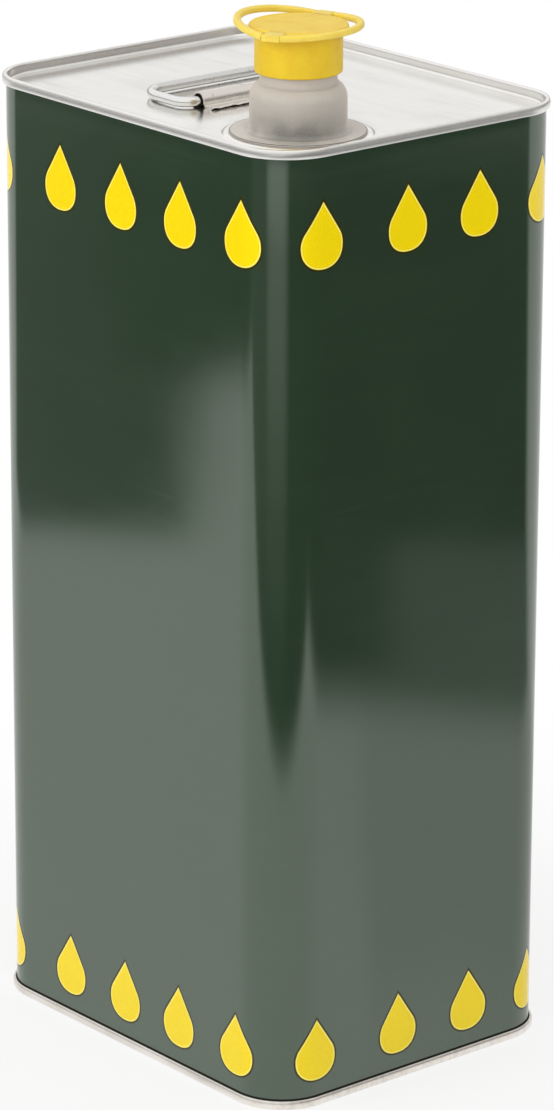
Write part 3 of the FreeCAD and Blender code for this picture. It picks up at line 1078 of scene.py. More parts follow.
@dataclass(frozen=True)
class TinOutline:
    """Rounded rectangle of the wall's outer face, from the weld round the front and back to the weld."""

    width: float = TIN_WIDTH
    depth: float = TIN_DEPTH
    corner: float = TIN_CORNER
    lap_width: float = 1.0
    lap_step: float = 0.06
    step: float = 2.2
    corner_parts: int = 22

    def flat_shares(self, length: float, at_lap: float | None = None) -> Array:
        """Shares of a straight side at which it has a column, finer at the weld.

        Args:
            length: Length of the side.
            at_lap: Share at which the weld is, where the side has it.

        Returns:
            The shares, from 0 up.
        """
        share = np.linspace(0, 1, math.ceil(length / self.step), endpoint=False)
        if at_lap is None:
            return share
        near = np.array([self.lap_width / 2, self.lap_width / 2 + self.lap_step]) / length
        return np.union1d(share, np.abs(at_lap - near))

    def samples(self) -> tuple[Array, Array, Array]:
        """Columns round the outline.

        Returns:
            The points, their outward normals, and the length along the outline at each and at its end.
        """
        half_x, half_y = self.width / 2, self.depth / 2
        flat_x, flat_y = half_x - self.corner, half_y - self.corner
        turn = np.radians(90.0 * np.arange(self.corner_parts) / self.corner_parts)
        sides = [
            ((-half_x, 0), (-half_x, -flat_y), (-1, 0), self.flat_shares(flat_y, 0.0), (-flat_x, -flat_y), 180),
            ((-flat_x, -half_y), (flat_x, -half_y), (0, -1), self.flat_shares(2 * flat_x), (flat_x, -flat_y), 270),
            ((half_x, -flat_y), (half_x, flat_y), (1, 0), self.flat_shares(2 * flat_y), (flat_x, flat_y), 0),
            ((flat_x, half_y), (-flat_x, half_y), (0, 1), self.flat_shares(2 * flat_x), (-flat_x, flat_y), 90),
            ((-half_x, flat_y), (-half_x, 0), (-1, 0), self.flat_shares(flat_y, 1.0), None, 0),
        ]
        points, normals = [], []
        for start, end, normal, share, centre, first in sides:
            points.append(np.array(start) + share[:, None] * (np.array(end) - np.array(start)))
            normals.append(np.tile(np.array(normal, float), (len(share), 1)))
            if centre is not None:
                out = np.stack([np.cos(math.radians(first) + turn), np.sin(math.radians(first) + turn)], axis=1)
                points.append(np.array(centre) + self.corner * out)
                normals.append(out)
        line = np.concatenate(points)
        steps = np.linalg.norm(np.roll(line, -1, axis=0) - line, axis=1)
        return line, np.concatenate(normals), np.concatenate([[0.0], np.cumsum(steps)])

    def carried(self, offsets: Array, heights: Array) -> Array:
        """Grid of a profile taken round the outline: each point moved out along its normal, and up.

        Args:
            offsets: How far out each point of the profile is.
            heights: How high it is.

        Returns:
            Points of shape (profile points, columns, 3).
        """
        line, normals, _ = self.samples()
        flat = line[None, :, :] + offsets[:, None, None] * normals[None, :, :]
        return lifted(flat, heights[:, None, None])


@dataclass(frozen=True)
class TinBody:
    """Printed wall with its two hooks and the weld, the lid and the bottom."""

    outline: TinOutline = TinOutline()
    height: float = 312.0
    body_sheet: float = 0.25
    end_sheet: float = 0.28
    lap_proud: float = 0.1
    lap_margin: float = 4.3
    lap_slack: float = 0.01
    seam_height: float = 3.0
    seam_gap: float = 0.08
    seam_top_bend: float = 0.45
    seam_headspace: float = 0.35
    seam_bulge: float = 25.0
    hook_run: float = 1.2
    countersink: float = 3.4
    panel_bend: float = 1.2
    panel_border: float = 2.0
    hole_radius: float = HOLE_RADIUS
    collar_radius: float = 23.8
    collar_rise: float = 0.6
    collar_slope: float = 45.0
    collar_lip: float = 0.5
    collar_wall: float = 2.0
    spout_place: Pair = SPOUT_AXIS
    drop_places: tuple[float, ...] = (
        -94.5, -66.7, -33.6, -3.2, 26.1, 55.4, 83.1, 117.0, 146.3, 174.5, 205.0, 235.5, 266.0, 296.5, 327.0, 357.5,
    )
    low_drop_places: tuple[float, ...] = (
        -94.5, -64.2, -31.7, -3.0, 24.6, 53.3, 82.6, 116.7, 146.8, 174.6, 205.0, 235.5, 266.0, 296.5, 327.0, 357.5,
    )
    drop_reach: float = 9.5
    drop_pitch: float = DROP_PITCH
    end_phase: float = 0.02
    wall_parts: int = 56
    panel_loops: int = 18
    bottom_loops: int = 22

    @property
    def chuck_line(self) -> float:
        """Middle of the lid's upright wall, outwards from the wall's outer face."""
        return -(self.body_sheet + self.seam_gap + self.end_sheet / 2)

    @property
    def cover_hook_line(self) -> float:
        """Middle of the lid's hook."""
        return self.seam_gap + self.end_sheet / 2

    @property
    def body_hook_line(self) -> float:
        """Middle of the wall's hook."""
        return self.cover_hook_line + self.end_sheet / 2 + self.seam_gap + self.body_sheet / 2

    @property
    def seam_wall_line(self) -> float:
        """Middle of the seam's outer sheet."""
        return self.body_hook_line + self.body_sheet / 2 + self.seam_gap + self.end_sheet / 2

    @property
    def panel_top(self) -> float:
        """Upper face of the lid's panel."""
        return self.height - self.countersink

    def print_phase(self, row: Sequence[float]) -> Array:
        """Number of drops passed at each column, even near a drop so that none is stretched.

        Args:
            row: Places of the drops of one row, along the outline from the middle of the front.

        Returns:
            The number at each column, and at the end of the outline.
        """
        _, _, along = self.outline.samples()
        start = -(self.outline.width / 2 - self.outline.corner) - self.outline.corner * math.pi / 2
        start -= self.outline.depth / 2 - self.outline.corner
        centres = np.array(row) - start
        places = np.stack([centres - self.drop_reach, centres + self.drop_reach], axis=1).ravel()
        share = self.drop_reach / self.drop_pitch
        middle = np.arange(len(centres)) + 0.5
        phases = np.stack([middle - share, middle + share], axis=1).ravel()
        spots = np.concatenate([[0.0], places, along[-1:]])
        counts = np.concatenate([[self.end_phase], phases, [len(centres) - self.end_phase]])
        return np.interp(along, spots, counts)

    def build_wall(self, finishes: FinishSet) -> bpy.types.Object:
        """Bent strip of the wall taken round the outline, thicker along the weld.

        Args:
            finishes: The finishes of the tin.

        Returns:
            The piece.
        """
        fold = (self.body_hook_line + self.body_sheet / 2) / 2
        fold_centre = self.height - self.end_sheet - self.seam_headspace - fold - self.body_sheet / 2
        low = self.height - fold_centre
        steps = [
            Run(self.hook_run),
            Bend(fold, -180),
            Run(fold_centre - low, self.wall_parts),
            Bend(fold, -180),
            Run(self.hook_run),
        ]
        line, normals = bent_line((self.body_hook_line, low + self.hook_run), -90, steps)
        inner, outer = sheet_faces(self.body_sheet, line, normals)
        profile = np.concatenate([inner, outer[::-1]])
        points = self.outline.carried(profile[:, 0], profile[:, 1])
        facing = np.concatenate([-np.ones(len(inner)), np.ones(len(outer))])
        on_wall = (profile[:, 1] > self.lap_margin) & (profile[:, 1] < self.height - self.lap_margin)
        at_lap = (points[0, :, 0] < 0) & (np.abs(points[0, :, 1]) <= self.outline.lap_width / 2 + self.lap_slack)
        points[:, :, 0] -= self.lap_proud * (facing * on_wall)[:, None] * at_lap[None, :]
        heights = np.append(profile[:, 1], profile[0, 1]) * MM
        above, below = self.print_phase(self.drop_places), self.print_phase(self.low_drop_places)
        phase = np.where(heights[:, None] > self.height / 2 * MM, above[None, :], below[None, :])
        uv = np.stack(np.broadcast_arrays(phase, heights[:, None]), axis=-1)
        slots = np.where(facing > 0, 0, 1)
        piece = MeshMaker().grid(points, True, True, slots, uv).make("printed_wall")
        return dress(piece, [finishes.lacquer, finishes.tinplate], ["body_shell"])

    def rim_faces(self) -> tuple[Array, Array]:
        """Seen and hidden face of the lid's border: panel edge, upright wall, seam top, rolled wall and hook.

        Returns:
            Offset from the outline and height of each point, for both faces.
        """
        curl = (self.seam_wall_line - self.cover_hook_line) / 2
        panel_line = self.panel_top - self.end_sheet / 2
        top_line = self.height - self.end_sheet / 2
        sine, cosine = math.sin(math.radians(self.seam_bulge)), math.cos(math.radians(self.seam_bulge))
        bulge_top = top_line - self.seam_top_bend * (1 - sine)
        bulge_bottom = self.height - self.seam_height + self.end_sheet / 2 + curl * (1 - sine)
        bulge_edge = self.cover_hook_line + curl * (1 + cosine)
        steps = [
            Run(self.panel_border, 3),
            Bend(self.panel_bend, 90),
            Run(top_line - self.seam_top_bend - panel_line - self.panel_bend, 2),
            Bend(self.seam_top_bend, -90),
            Run(bulge_edge - self.chuck_line - self.seam_top_bend * (1 + cosine), 2),
            Bend(self.seam_top_bend, self.seam_bulge - 90),
            Bend((bulge_top - bulge_bottom) / (2 * sine), -2 * self.seam_bulge, 4),
            Bend(curl, self.seam_bulge - 180),
            Run(self.hook_run),
        ]
        start = (self.chuck_line - self.panel_bend - self.panel_border, panel_line)
        return sheet_faces(self.end_sheet, *bent_line(start, 0, steps))

    def collar_faces(self) -> tuple[Array, Array]:
        """Seen and hidden face of the collar, as radius from the spout and height, from the hole outwards.

        Returns:
            The points of both faces.
        """
        slope_bend = self.collar_rise / (2 * (1 - math.cos(math.radians(self.collar_slope))))
        slope_run = 2 * slope_bend * math.sin(math.radians(self.collar_slope))
        wall_line = self.hole_radius + self.end_sheet / 2
        top_line = self.panel_top + self.collar_rise - self.end_sheet / 2
        steps = [
            Run(self.collar_wall, 2),
            Bend(self.collar_lip, -90),
            Run(self.collar_radius - slope_run - self.collar_lip - wall_line),
            Bend(slope_bend, -self.collar_slope),
            Bend(slope_bend, self.collar_slope),
        ]
        start = (wall_line, top_line - self.collar_lip - self.collar_wall)
        return sheet_faces(self.end_sheet, *bent_line(start, 90, steps))

    def lid_face(self, collar: Array, rim: Array) -> Array:
        """One face of the lid: circles of the collar, loops between circle and rectangle, loops of the rim.

        The circles have their points at the angles at which the outline's columns are seen from the spout.

        Args:
            collar: Points of the collar's face.
            rim: Points of the rim's face.

        Returns:
            Points of shape (loops, columns, 3).
        """
        loops = self.outline.carried(rim[:, 0], rim[:, 1])
        centre = np.array(self.spout_place)
        away = loops[0, :, :2] - centre
        away /= np.linalg.norm(away, axis=1, keepdims=True)
        circles = centre + collar[:, :1, None] * away[None, :, :]
        rings = lifted(circles, collar[:, 1:, None])
        share = np.linspace(0, 1, self.panel_loops)[1:-1, None, None]
        return np.concatenate([rings, rings[-1:] * (1 - share) + loops[:1] * share, loops])

    def build_lid(self, finishes: FinishSet) -> bpy.types.Object:
        """Lid with its rim, panel and collar, both faces.

        Args:
            finishes: The finishes of the tin.

        Returns:
            The piece.
        """
        rim_seen, rim_hidden = self.rim_faces()
        collar_seen, collar_hidden = self.collar_faces()
        seen, hidden = self.lid_face(collar_seen, rim_seen), self.lid_face(collar_hidden, rim_hidden)
        piece = MeshMaker().grid(np.concatenate([seen, hidden[::-1]]), True, True).make("lid_sheet")
        return dress(piece, [finishes.tinplate], ["top_end"])

    def build_bottom(self, finishes: FinishSet) -> bpy.types.Object:
        """Bottom with the same rim, its panel drawn in to the middle, both faces.

        Args:
            finishes: The finishes of the tin.

        Returns:
            The piece.
        """
        share = np.linspace(0, 1, self.bottom_loops)[:-1, None, None]
        faces = []
        for rim in self.rim_faces():
            loops = self.outline.carried(rim[:, 0], self.height - rim[:, 1])
            middle = loops[:1] * np.array([0, 0, 1])
            faces.append(np.concatenate([middle * (1 - share) + loops[:1] * share, loops]))
        piece = MeshMaker().grid(np.concatenate([faces[0], faces[1][::-1]]), False, True).make("bottom_sheet")
        return dress(piece, [finishes.foot], ["bottom_end"])

    def build(self, finishes: FinishSet, nodes: Mapping[str, bpy.types.Object]) -> None:
        """Makes the wall, lid and bottom and dresses the compound in the seams.

        Args:
            finishes: The finishes of the tin.
            nodes: Solids of the frame by name.
        """
        for make in (self.build_wall, self.build_lid, self.build_bottom):
            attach(make(finishes), Body.TIN.value)
        for name in ("top_seam_compound", "bottom_seam_compound"):
            nodes[name].data.materials.clear()
            nodes[name].data.materials.append(finishes.compound.material())
            LOG.info("%s: dressed in place", name)


@dataclass(frozen=True)
class Handle:
    """Wire loop and the saddle of bent sheet that holds it on the lid."""

    panel_top: float = 308.6
    wire_radius: float = 1.6
    wire_lift: float = 0.3
    axis_x: float = -2.0
    middle_y: float = -6.7
    reach: float = 21.6
    half_length: float = 27.9
    far_bend: float = 8.5
    near_bend: float = 5.0
    end_gap: float = 0.6
    strap_sheet: float = 0.6
    wire_clearance: float = 0.8
    end_clearance: float = 0.8
    foot_bend: float = 0.9
    foot_run: float = 2.2
    edge_run: float = 0.9
    edge_bend: float = 1.0
    edge_angle: float = 28.0
    edge_wave: float = 0.11
    wave_rates: Pair = (0.83, 1.71)
    wave_start: float = 0.4
    wave_share: float = 0.6
    wave_lift: float = 0.6
    wave_margins: Pair = (1.4, 1.0)
    strap_parts: int = 90
    wire_sides: int = 28

    @property
    def axis_z(self) -> float:
        """Height of the wire's middle line."""
        return self.panel_top + self.wire_lift + self.wire_radius

    def build_strap(self, finishes: FinishSet) -> bpy.types.Object:
        """Saddle: foot with its edge turned up, rise, half-round roof, rise and foot, drawn out along Y.

        Args:
            finishes: The finishes of the tin.

        Returns:
            The piece.
        """
        roof = self.wire_radius + self.wire_clearance + self.strap_sheet / 2
        foot_line = self.panel_top + self.strap_sheet / 2
        rise = self.axis_z - foot_line - self.foot_bend
        lean = math.radians(self.edge_angle)
        edge_reach = self.edge_run * math.cos(lean) + self.edge_bend * math.sin(lean)
        edge_rise = self.edge_run * math.sin(lean) + self.edge_bend * (1 - math.cos(lean))
        steps = [
            Run(self.edge_run),
            Bend(self.edge_bend, self.edge_angle, 7),
            Run(self.foot_run, 3),
            Bend(self.foot_bend, 90),
            Run(rise),
            Bend(roof, -180),
            Run(rise),
            Bend(self.foot_bend, 90),
            Run(self.foot_run, 3),
            Bend(self.edge_bend, self.edge_angle, 7),
            Run(self.edge_run),
        ]
        start = (self.axis_x - roof - self.foot_bend - self.foot_run - edge_reach, foot_line + edge_rise)
        faces = sheet_faces(self.strap_sheet, *bent_line(start, -self.edge_angle, steps))
        half = self.half_length - self.near_bend - self.end_clearance
        stations = self.middle_y + np.linspace(-half, half, self.strap_parts)
        over, under = (self.dented(np.stack(np.broadcast_arrays(
            face[:, None, 0], stations[None, :], face[:, None, 1]), axis=-1)) for face in faces)
        maker = MeshMaker().grid(np.concatenate([over, under[::-1]]), True, False)
        maker.grid(np.stack([over[:, 0], under[:, 0]]))
        maker.grid(np.stack([over[:, -1], under[:, -1]]))
        return dress(maker.make("handle_saddle"), [finishes.strap], ["handle_strap"])

    def dented(self, points: Array) -> Array:
        """Saddle's points with the wavy edges that the bending tool leaves.

        Two sines of the place along Y are added upwards, in full at the feet's edges and not at all at the roof.

        Args:
            points: Points of the even saddle.

        Returns:
            The moved points.
        """
        reach = np.abs(points[..., 0] - self.axis_x) - self.wire_radius - self.wire_clearance - self.strap_sheet
        low, high = self.foot_bend + self.wave_margins[0], self.foot_bend + self.foot_run + self.wave_margins[1]
        share = smooth_step(low, high, reach)
        across, along = points[..., 0], points[..., 1]
        wave = np.sin(along * self.wave_rates[0] + self.wave_start)
        wave = wave + self.wave_share * np.sin(along * self.wave_rates[1] + across)
        return points + np.array([0, 0, 1]) * (self.edge_wave * share * (wave + self.wave_lift))[..., None]

    def build_wire(self, finishes: FinishSet) -> bpy.types.Object:
        """Tube round the loop's line: the line plus cosine along its normal and sine upwards, times the radius.

        Args:
            finishes: The finishes of the tin.

        Returns:
            The piece.
        """
        side = self.reach - self.near_bend - self.far_bend
        half = self.half_length - self.near_bend - self.end_gap / 2
        steps = [
            Run(half, 10),
            Bend(self.near_bend, 90, 6),
            Run(side, 6),
            Bend(self.far_bend, 90, 6),
            Run(2 * (self.half_length - self.far_bend), 16),
            Bend(self.far_bend, 90, 6),
            Run(side, 6),
            Bend(self.near_bend, 90, 6),
            Run(half, 10),
        ]
        line, normals = bent_line((self.axis_x, self.middle_y + self.end_gap / 2), 90, steps)
        turn = np.linspace(0, 2 * math.pi, self.wire_sides, endpoint=False)
        flat = line[:, None, :] + self.wire_radius * np.cos(turn)[None, :, None] * normals[:, None, :]
        loops = lifted(flat, self.axis_z + self.wire_radius * np.sin(turn)[None, :, None])
        piece = MeshMaker().capped(loops).make("handle_loop")
        return dress(piece, [finishes.steel], ["handle_wire"])

    def build(self, finishes: FinishSet) -> None:
        """Makes the saddle on the tin and the wire on its own body."""
        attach(self.build_strap(finishes), Body.TIN.value)
        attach(self.build_wire(finishes), Body.HANDLE.value)


@dataclass(frozen=True)
class Spout:
    """Soft spout: plug ring in the collar, skirt (on the real spout it turns inside out; here it is built
    standing), and neck with its thread.
    """

    axis: Pair = SPOUT_AXIS
    collar_top: float = COLLAR_TOP
    hole_radius: float = HOLE_RADIUS
    seat_gap: float = 0.04
    plug_gap: float = 0.06
    lip_overlap: float = 0.45
    lip_thickness: float = 0.5
    ring_thickness: float = 1.1
    ring_inner: float = 15.2
    plug_wall: float = 1.3
    collar_depth: float = 2.64
    snap_overlap: float = 0.4
    snap_height: float = 0.6
    taper_height: float = 0.8
    skirt_radius: float = 15.0
    skirt_wall: float = 0.9
    foot_fillet: float = 1.6
    shoulder_height: float = 10.4
    skirt_height: float = 15.2
    neck_radius: float = 11.9
    neck_wall: float = 1.7
    neck_length: float = 15.1
    mouth_chamfer: float = 0.5
    root_reach: float = 0.85
    root_drop: float = 0.54
    root_rise: float = 1.3
    thread_pitch: float = 4.2
    thread_height: float = 0.5
    thread_turns: float = 2.1
    thread_start: float = 5.2
    thread_crest: float = 0.35
    thread_foot: float = 0.95
    thread_run_out: float = 0.12
    edge_round: float = 0.3
    root_bend: float = 0.07
    collar_lip: float = 0.5
    ring_easing: tuple[float, ...] = (0.1, 0.22, 0.1, 0.05, 0.1, 0.1, 0.15, 0.15, 0.2, 0.2, 0.1)
    ring_columns: int = 128
    foot_rows: int = 9
    outer_rows: int = 26
    inner_rows: int = 30
    shoulder_rows: int = 14
    root_rows: int = 10
    neck_rows: int = 84
    edge_rows: int = 6

    @property
    def ring_top(self) -> float:
        """Upper face of the plug ring."""
        return self.collar_top + self.seat_gap + self.lip_thickness

    @property
    def neck_root(self) -> float:
        """Foot of the neck."""
        return self.ring_top + self.skirt_height

    @property
    def neck_top(self) -> float:
        """Pouring edge."""
        return self.neck_root + self.neck_length

    def build_ring(self, finishes: FinishSet) -> bpy.types.Object:
        """Plug ring: lip on the collar, wall in the hole and snap bead under the collar, turned about the axis.

        Args:
            finishes: The finishes of the tin.

        Returns:
            The piece.
        """
        plug = self.hole_radius - self.plug_gap
        lip_bottom = self.collar_top + self.seat_gap
        snap_top = self.collar_top - self.collar_depth - self.collar_lip - self.seat_gap
        snap_bottom = snap_top - self.snap_height
        bottom = snap_bottom - self.taper_height
        under = self.ring_top - self.ring_thickness
        corners = [
            (self.ring_inner, self.ring_top),
            (self.hole_radius + self.lip_overlap, self.ring_top),
            (self.hole_radius + self.lip_overlap, lip_bottom),
            (plug, lip_bottom),
            (plug, snap_top),
            (plug + self.snap_overlap, snap_top),
            (plug + self.snap_overlap, snap_bottom),
            (plug - self.snap_overlap, bottom),
            (plug - self.plug_wall, bottom),
            (plug - self.plug_wall, under),
            (self.ring_inner, under),
        ]
        grid = revolved(filleted(corners, self.ring_easing), self.axis, self.ring_columns)
        piece = MeshMaker().grid(grid, True, True).make("spout_plug_ring")
        return dress(piece, [finishes.spout], ["spout_flange"])

    def shoulder(self, wall: float, low: float, root: float, high: float) -> Array:
        """Arc that leaves an upright wall smoothly and leans in to the root of the neck.

        Args:
            wall: Radius of the wall.
            low: Height where the arc starts.
            root: Radius where it ends.
            high: Height where it ends.

        Returns:
            Radius and height of points from the wall to the root.
        """
        radius = ((wall - root) ** 2 + (high - low) ** 2) / (2 * (wall - root))
        turn = np.linspace(0, math.asin((high - low) / radius), self.shoulder_rows)
        return paired(wall - radius + radius * np.cos(turn), low + radius * np.sin(turn))

    def build_skirt(self, finishes: FinishSet) -> bpy.types.Object:
        """Skirt: filleted foot, upright wall and round shoulder, outside and inside, turned about the axis.

        Args:
            finishes: The finishes of the tin.

        Returns:
            The piece.
        """
        inner, bore = self.skirt_radius - self.skirt_wall, self.neck_radius - self.neck_wall
        wall_top = self.ring_top + self.shoulder_height
        turn = np.linspace(0, math.pi / 2, self.foot_rows)
        foot = paired(
            self.skirt_radius + self.foot_fillet * (1 - np.sin(turn)),
            self.ring_top + self.foot_fillet * (1 - np.cos(turn)),
        )
        profile = np.concatenate([
            foot,
            paired(self.skirt_radius, np.linspace(foot[-1, 1], wall_top, self.outer_rows)[1:-1]),
            self.shoulder(self.skirt_radius, wall_top, self.neck_radius, self.neck_root),
            np.array([[bore, self.neck_root]]),
            self.shoulder(inner, wall_top, bore, self.neck_root - self.skirt_wall)[::-1],
            paired(inner, np.linspace(wall_top, self.ring_top, self.inner_rows)[1:]),
        ])
        piece = MeshMaker().grid(revolved(profile, self.axis), True, True).make("spout_sleeve", 60)
        return dress(piece, [finishes.spout], ["spout_skirt"])

    def thread(self, points: Array, height: float) -> Array:
        """Height of the thread's ridge at each point.

        The ridge follows a helix that rises one pitch a turn. A point's turn is the nearest one of the helix at
        its own angle, and the ridge falls with the distance from it and at both ends of the thread.

        Args:
            points: Points of shape (rows, columns, 3).
            height: Height of the ridge.

        Returns:
            Ridge height of shape (rows, columns).
        """
        angle = np.arctan2(points[..., 1] - self.axis[1], points[..., 0] - self.axis[0]) / (2 * math.pi)
        rise = (points[..., 2] - self.neck_root - self.thread_start) / self.thread_pitch
        along = np.round(rise - angle) + angle
        across = np.abs(rise - along) * self.thread_pitch
        ridge = 1 - smooth_step(self.thread_crest, self.thread_foot, across)
        rising = smooth_step(0, self.thread_run_out, along)
        falling = 1 - smooth_step(self.thread_turns - self.thread_run_out, self.thread_turns, along)
        return height * ridge * rising * falling

    def threaded(self, wall: Array, radius: float, height: float, shift: float = 0.0) -> Array:
        """Wall with the thread on it, inwards where its height is negative.

        Args:
            wall: Points of shape (rows, columns, 3).
            radius: Radius of the wall.
            height: Height of the ridge.
            shift: How far up the thread is moved.

        Returns:
            The moved points.
        """
        ridge = self.thread(wall - np.array([0, 0, shift]), height)
        away = wall[..., :2] - np.array(self.axis)
        return np.concatenate([wall[..., :2] + away / radius * ridge[..., None], wall[..., 2:]], axis=2)

    def build_neck(self, finishes: FinishSet) -> bpy.types.Object:
        """Neck: soft root on the shoulder, outer wall with its thread, rounded pouring edge and bore.

        The root is a quadratic curve from the shoulder to the wall, and all of it is turned about the axis.

        Args:
            finishes: The finishes of the tin.

        Returns:
            The piece.
        """
        bore = self.neck_radius - self.neck_wall
        share = np.linspace(0, 1, self.root_rows)[:-1, None]
        low = np.array([self.neck_radius + self.root_reach, self.neck_root - self.root_drop])
        bend = np.array([self.neck_radius, self.neck_root + self.root_bend])
        high = np.array([self.neck_radius, self.neck_root + self.root_rise])
        fillet = (1 - share) ** 2 * low + 2 * share * (1 - share) * bend + share ** 2 * high
        rows = np.linspace(high[1], self.neck_top - self.edge_round, self.neck_rows)
        outer = np.concatenate([fillet, paired(self.neck_radius, rows)])
        turn = np.linspace(0, math.pi / 2, self.edge_rows)[1:]
        edge = paired(
            self.neck_radius - self.edge_round * (1 - np.cos(turn)),
            self.neck_top - self.edge_round * (1 - np.sin(turn)),
        )
        inside = np.array([
            [bore + self.mouth_chamfer, self.neck_top],
            [bore + self.edge_round / 2, self.neck_top - self.edge_round / 2],
            [bore, self.neck_top - self.mouth_chamfer],
            [bore, (self.neck_top + self.neck_root) / 2],
            [bore, self.neck_root],
        ])
        grid = revolved(np.concatenate([outer, edge, inside]), self.axis)
        grid[: len(outer)] = self.threaded(grid[: len(outer)], self.neck_radius, self.thread_height)
        piece = MeshMaker().grid(grid, True, True).make("spout_throat", 50)
        return dress(piece, [finishes.spout], ["spout_neck"])

    def build(self, finishes: FinishSet) -> None:
        """Makes the ring on the tin, the skirt in place on no body, and the neck on the spout.

        Args:
            finishes: The finishes of the tin.
        """
        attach(self.build_ring(finishes), Body.TIN.value)
        low, high = (*self.axis, self.ring_top), (*self.axis, self.neck_root)
        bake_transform(self.build_skirt(finishes), Body.TIN.value, Body.SPOUT.value,
                 start=tuple(MM * value for value in low), end=tuple(MM * value for value in high))
        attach(self.build_neck(finishes), Body.SPOUT.value)


@dataclass(frozen=True)
class Cap:
    """Screw cap with its sealing disc, two lugs and the two half rings that hang on them."""

    spout: Spout = Spout()
    radius: float = 13.55
    bore_gap: float = 0.75
    reach: float = 12.0
    disc_radius: float = 15.3
    disc_thickness: float = 2.2
    top_thickness: float = 1.8
    foot_fillet: float = 0.7
    closing_inset: float = 3.0
    liner_thickness: float = 1.0
    liner_gap: float = 0.25
    bail_radius: float = 19.9
    bail_width: float = 2.3
    bail_thickness: float = 2.0
    bail_rounding: float = 0.7
    lug_width: float = 6.0
    lug_root: float = 1.5
    lug_rounding: float = 0.45
    under_fillet: float = 0.35
    disc_fillets: Pair = (0.5, 0.75)
    thread_depth: float = 0.38
    bore_ease: float = 0.2
    seal_ease: float = 0.15
    hinge_gap: float = 0.06
    hinge_offset: float = 0.15
    axis_angle: float = 114.0
    left_lift: float = 9.0
    right_lift: float = 3.5
    columns: int = 120
    disc_rows: int = 8
    wall_rows: int = 80
    lug_stations: int = 12
    bail_stations: int = 72
    bar_parts: int = 5
    edge_parts: int = 7
    seal_rows: int = 5

    @property
    def ceiling(self) -> float:
        """Inner face of the cap's top."""
        return self.spout.neck_top + self.liner_thickness

    @property
    def top(self) -> float:
        """Upper face of the cap."""
        return self.ceiling + self.top_thickness

    def placed(self, points: Array, side: int) -> Array:
        """Points built with the lugs along X, turned to their side and the cap's angle and moved to the spout."""
        turned = turned_about(points, "Z", 0 if side > 0 else 180)
        return turned_about(turned, "Z", self.axis_angle) + np.array([*self.spout.axis, 0.0])

    def bar_section(self, half_width: float, rounding: float) -> Array:
        """Rounded rectangle across a lug or half ring: distance from its middle, and height.

        Args:
            half_width: Half of its width.
            rounding: Radius of its edges.

        Returns:
            The closed loop.
        """
        low = self.top - self.bail_thickness
        corners = [(-half_width, low), (half_width, low), (half_width, self.top), (-half_width, self.top)]
        return filleted(corners, [rounding] * 4, self.bar_parts)

    def lug(self, side: int) -> Array:
        """Loops of a lug along X, the last of them on the circle of the half rings.

        Args:
            side: 1 or -1, the side of the lugs.

        Returns:
            Points of shape (stations, points on a loop, 3).
        """
        loop = self.bar_section(self.lug_width / 2, self.lug_rounding)
        start = self.disc_radius - self.lug_root
        end = np.sqrt(self.bail_radius ** 2 - loop[:, 0] ** 2)
        share = np.linspace(0, 1, self.lug_stations)[:, None]
        reach = start + share * (end[None, :] - start)
        points = np.stack(np.broadcast_arrays(reach, loop[None, :, 0], loop[None, :, 1]), axis=-1)
        return self.placed(points, side)

    def build_shell(self, finishes: FinishSet) -> bpy.types.Object:
        """Cap turned about the axis, with the inner thread and the two lugs.

        The outside is a polygon with rounded corners. Its first and last corner only close it, and are cut off.

        Args:
            finishes: The finishes of the tin.

        Returns:
            The piece.
        """
        bore = self.spout.neck_radius + self.bore_gap
        foot, low = self.spout.neck_top - self.reach, self.top - self.disc_thickness
        closing = bore - self.closing_inset
        corners = [
            (closing, foot), (self.radius, foot), (self.radius, low), (self.disc_radius, low),
            (self.disc_radius, self.top), (closing, self.top),
        ]
        radii = [0, self.foot_fillet, self.under_fillet, *self.disc_fillets, 0]
        outside = filleted(corners, radii, self.edge_parts)[self.edge_parts + 1: -self.edge_parts - 1]
        ceiling = np.array([[0, self.ceiling], [bore / 2, self.ceiling]])
        profile = np.concatenate([
            ceiling,
            paired(bore, np.linspace(self.ceiling, foot + self.bore_ease, self.wall_rows)),
            np.array([[bore + self.bore_ease, foot]]),
            outside,
            paired(np.linspace(outside[-1, 0], 0, self.disc_rows)[1:], self.top),
        ])
        grid = revolved(profile, self.spout.axis, self.columns)
        wall = slice(len(ceiling), len(ceiling) + self.wall_rows)
        grid[wall] = self.spout.threaded(grid[wall], bore, -self.thread_depth, self.spout.thread_pitch / 2)
        maker = MeshMaker().grid(grid, False, True).capped(self.lug(1)).capped(self.lug(-1))
        return dress(maker.make("cap_moulding", 50), [finishes.cap], ["cap_shell"])

    def build_liner(self, finishes: FinishSet) -> bpy.types.Object:
        """Sealing disc with eased edges.

        Args:
            finishes: The finishes of the tin.

        Returns:
            The piece.
        """
        radius = self.spout.neck_radius + self.bore_gap - self.liner_gap
        low, high = self.spout.neck_top, self.ceiling
        turn = np.linspace(0, math.pi / 2, self.seal_rows)
        ease = self.seal_ease
        out, up = radius - ease + ease * np.sin(turn), ease * (1 - np.cos(turn))
        middle = np.linspace(0, radius - ease, self.seal_rows)[:-1]
        under, over = [paired(middle, low), paired(out, low + up)], [paired(middle, high), paired(out, high - up)]
        profile = np.concatenate([*under, np.concatenate(over)[::-1]])
        piece = MeshMaker().grid(revolved(profile, self.spout.axis), False, True).make("cap_seal")
        return dress(piece, [finishes.liner], ["cap_liner"])

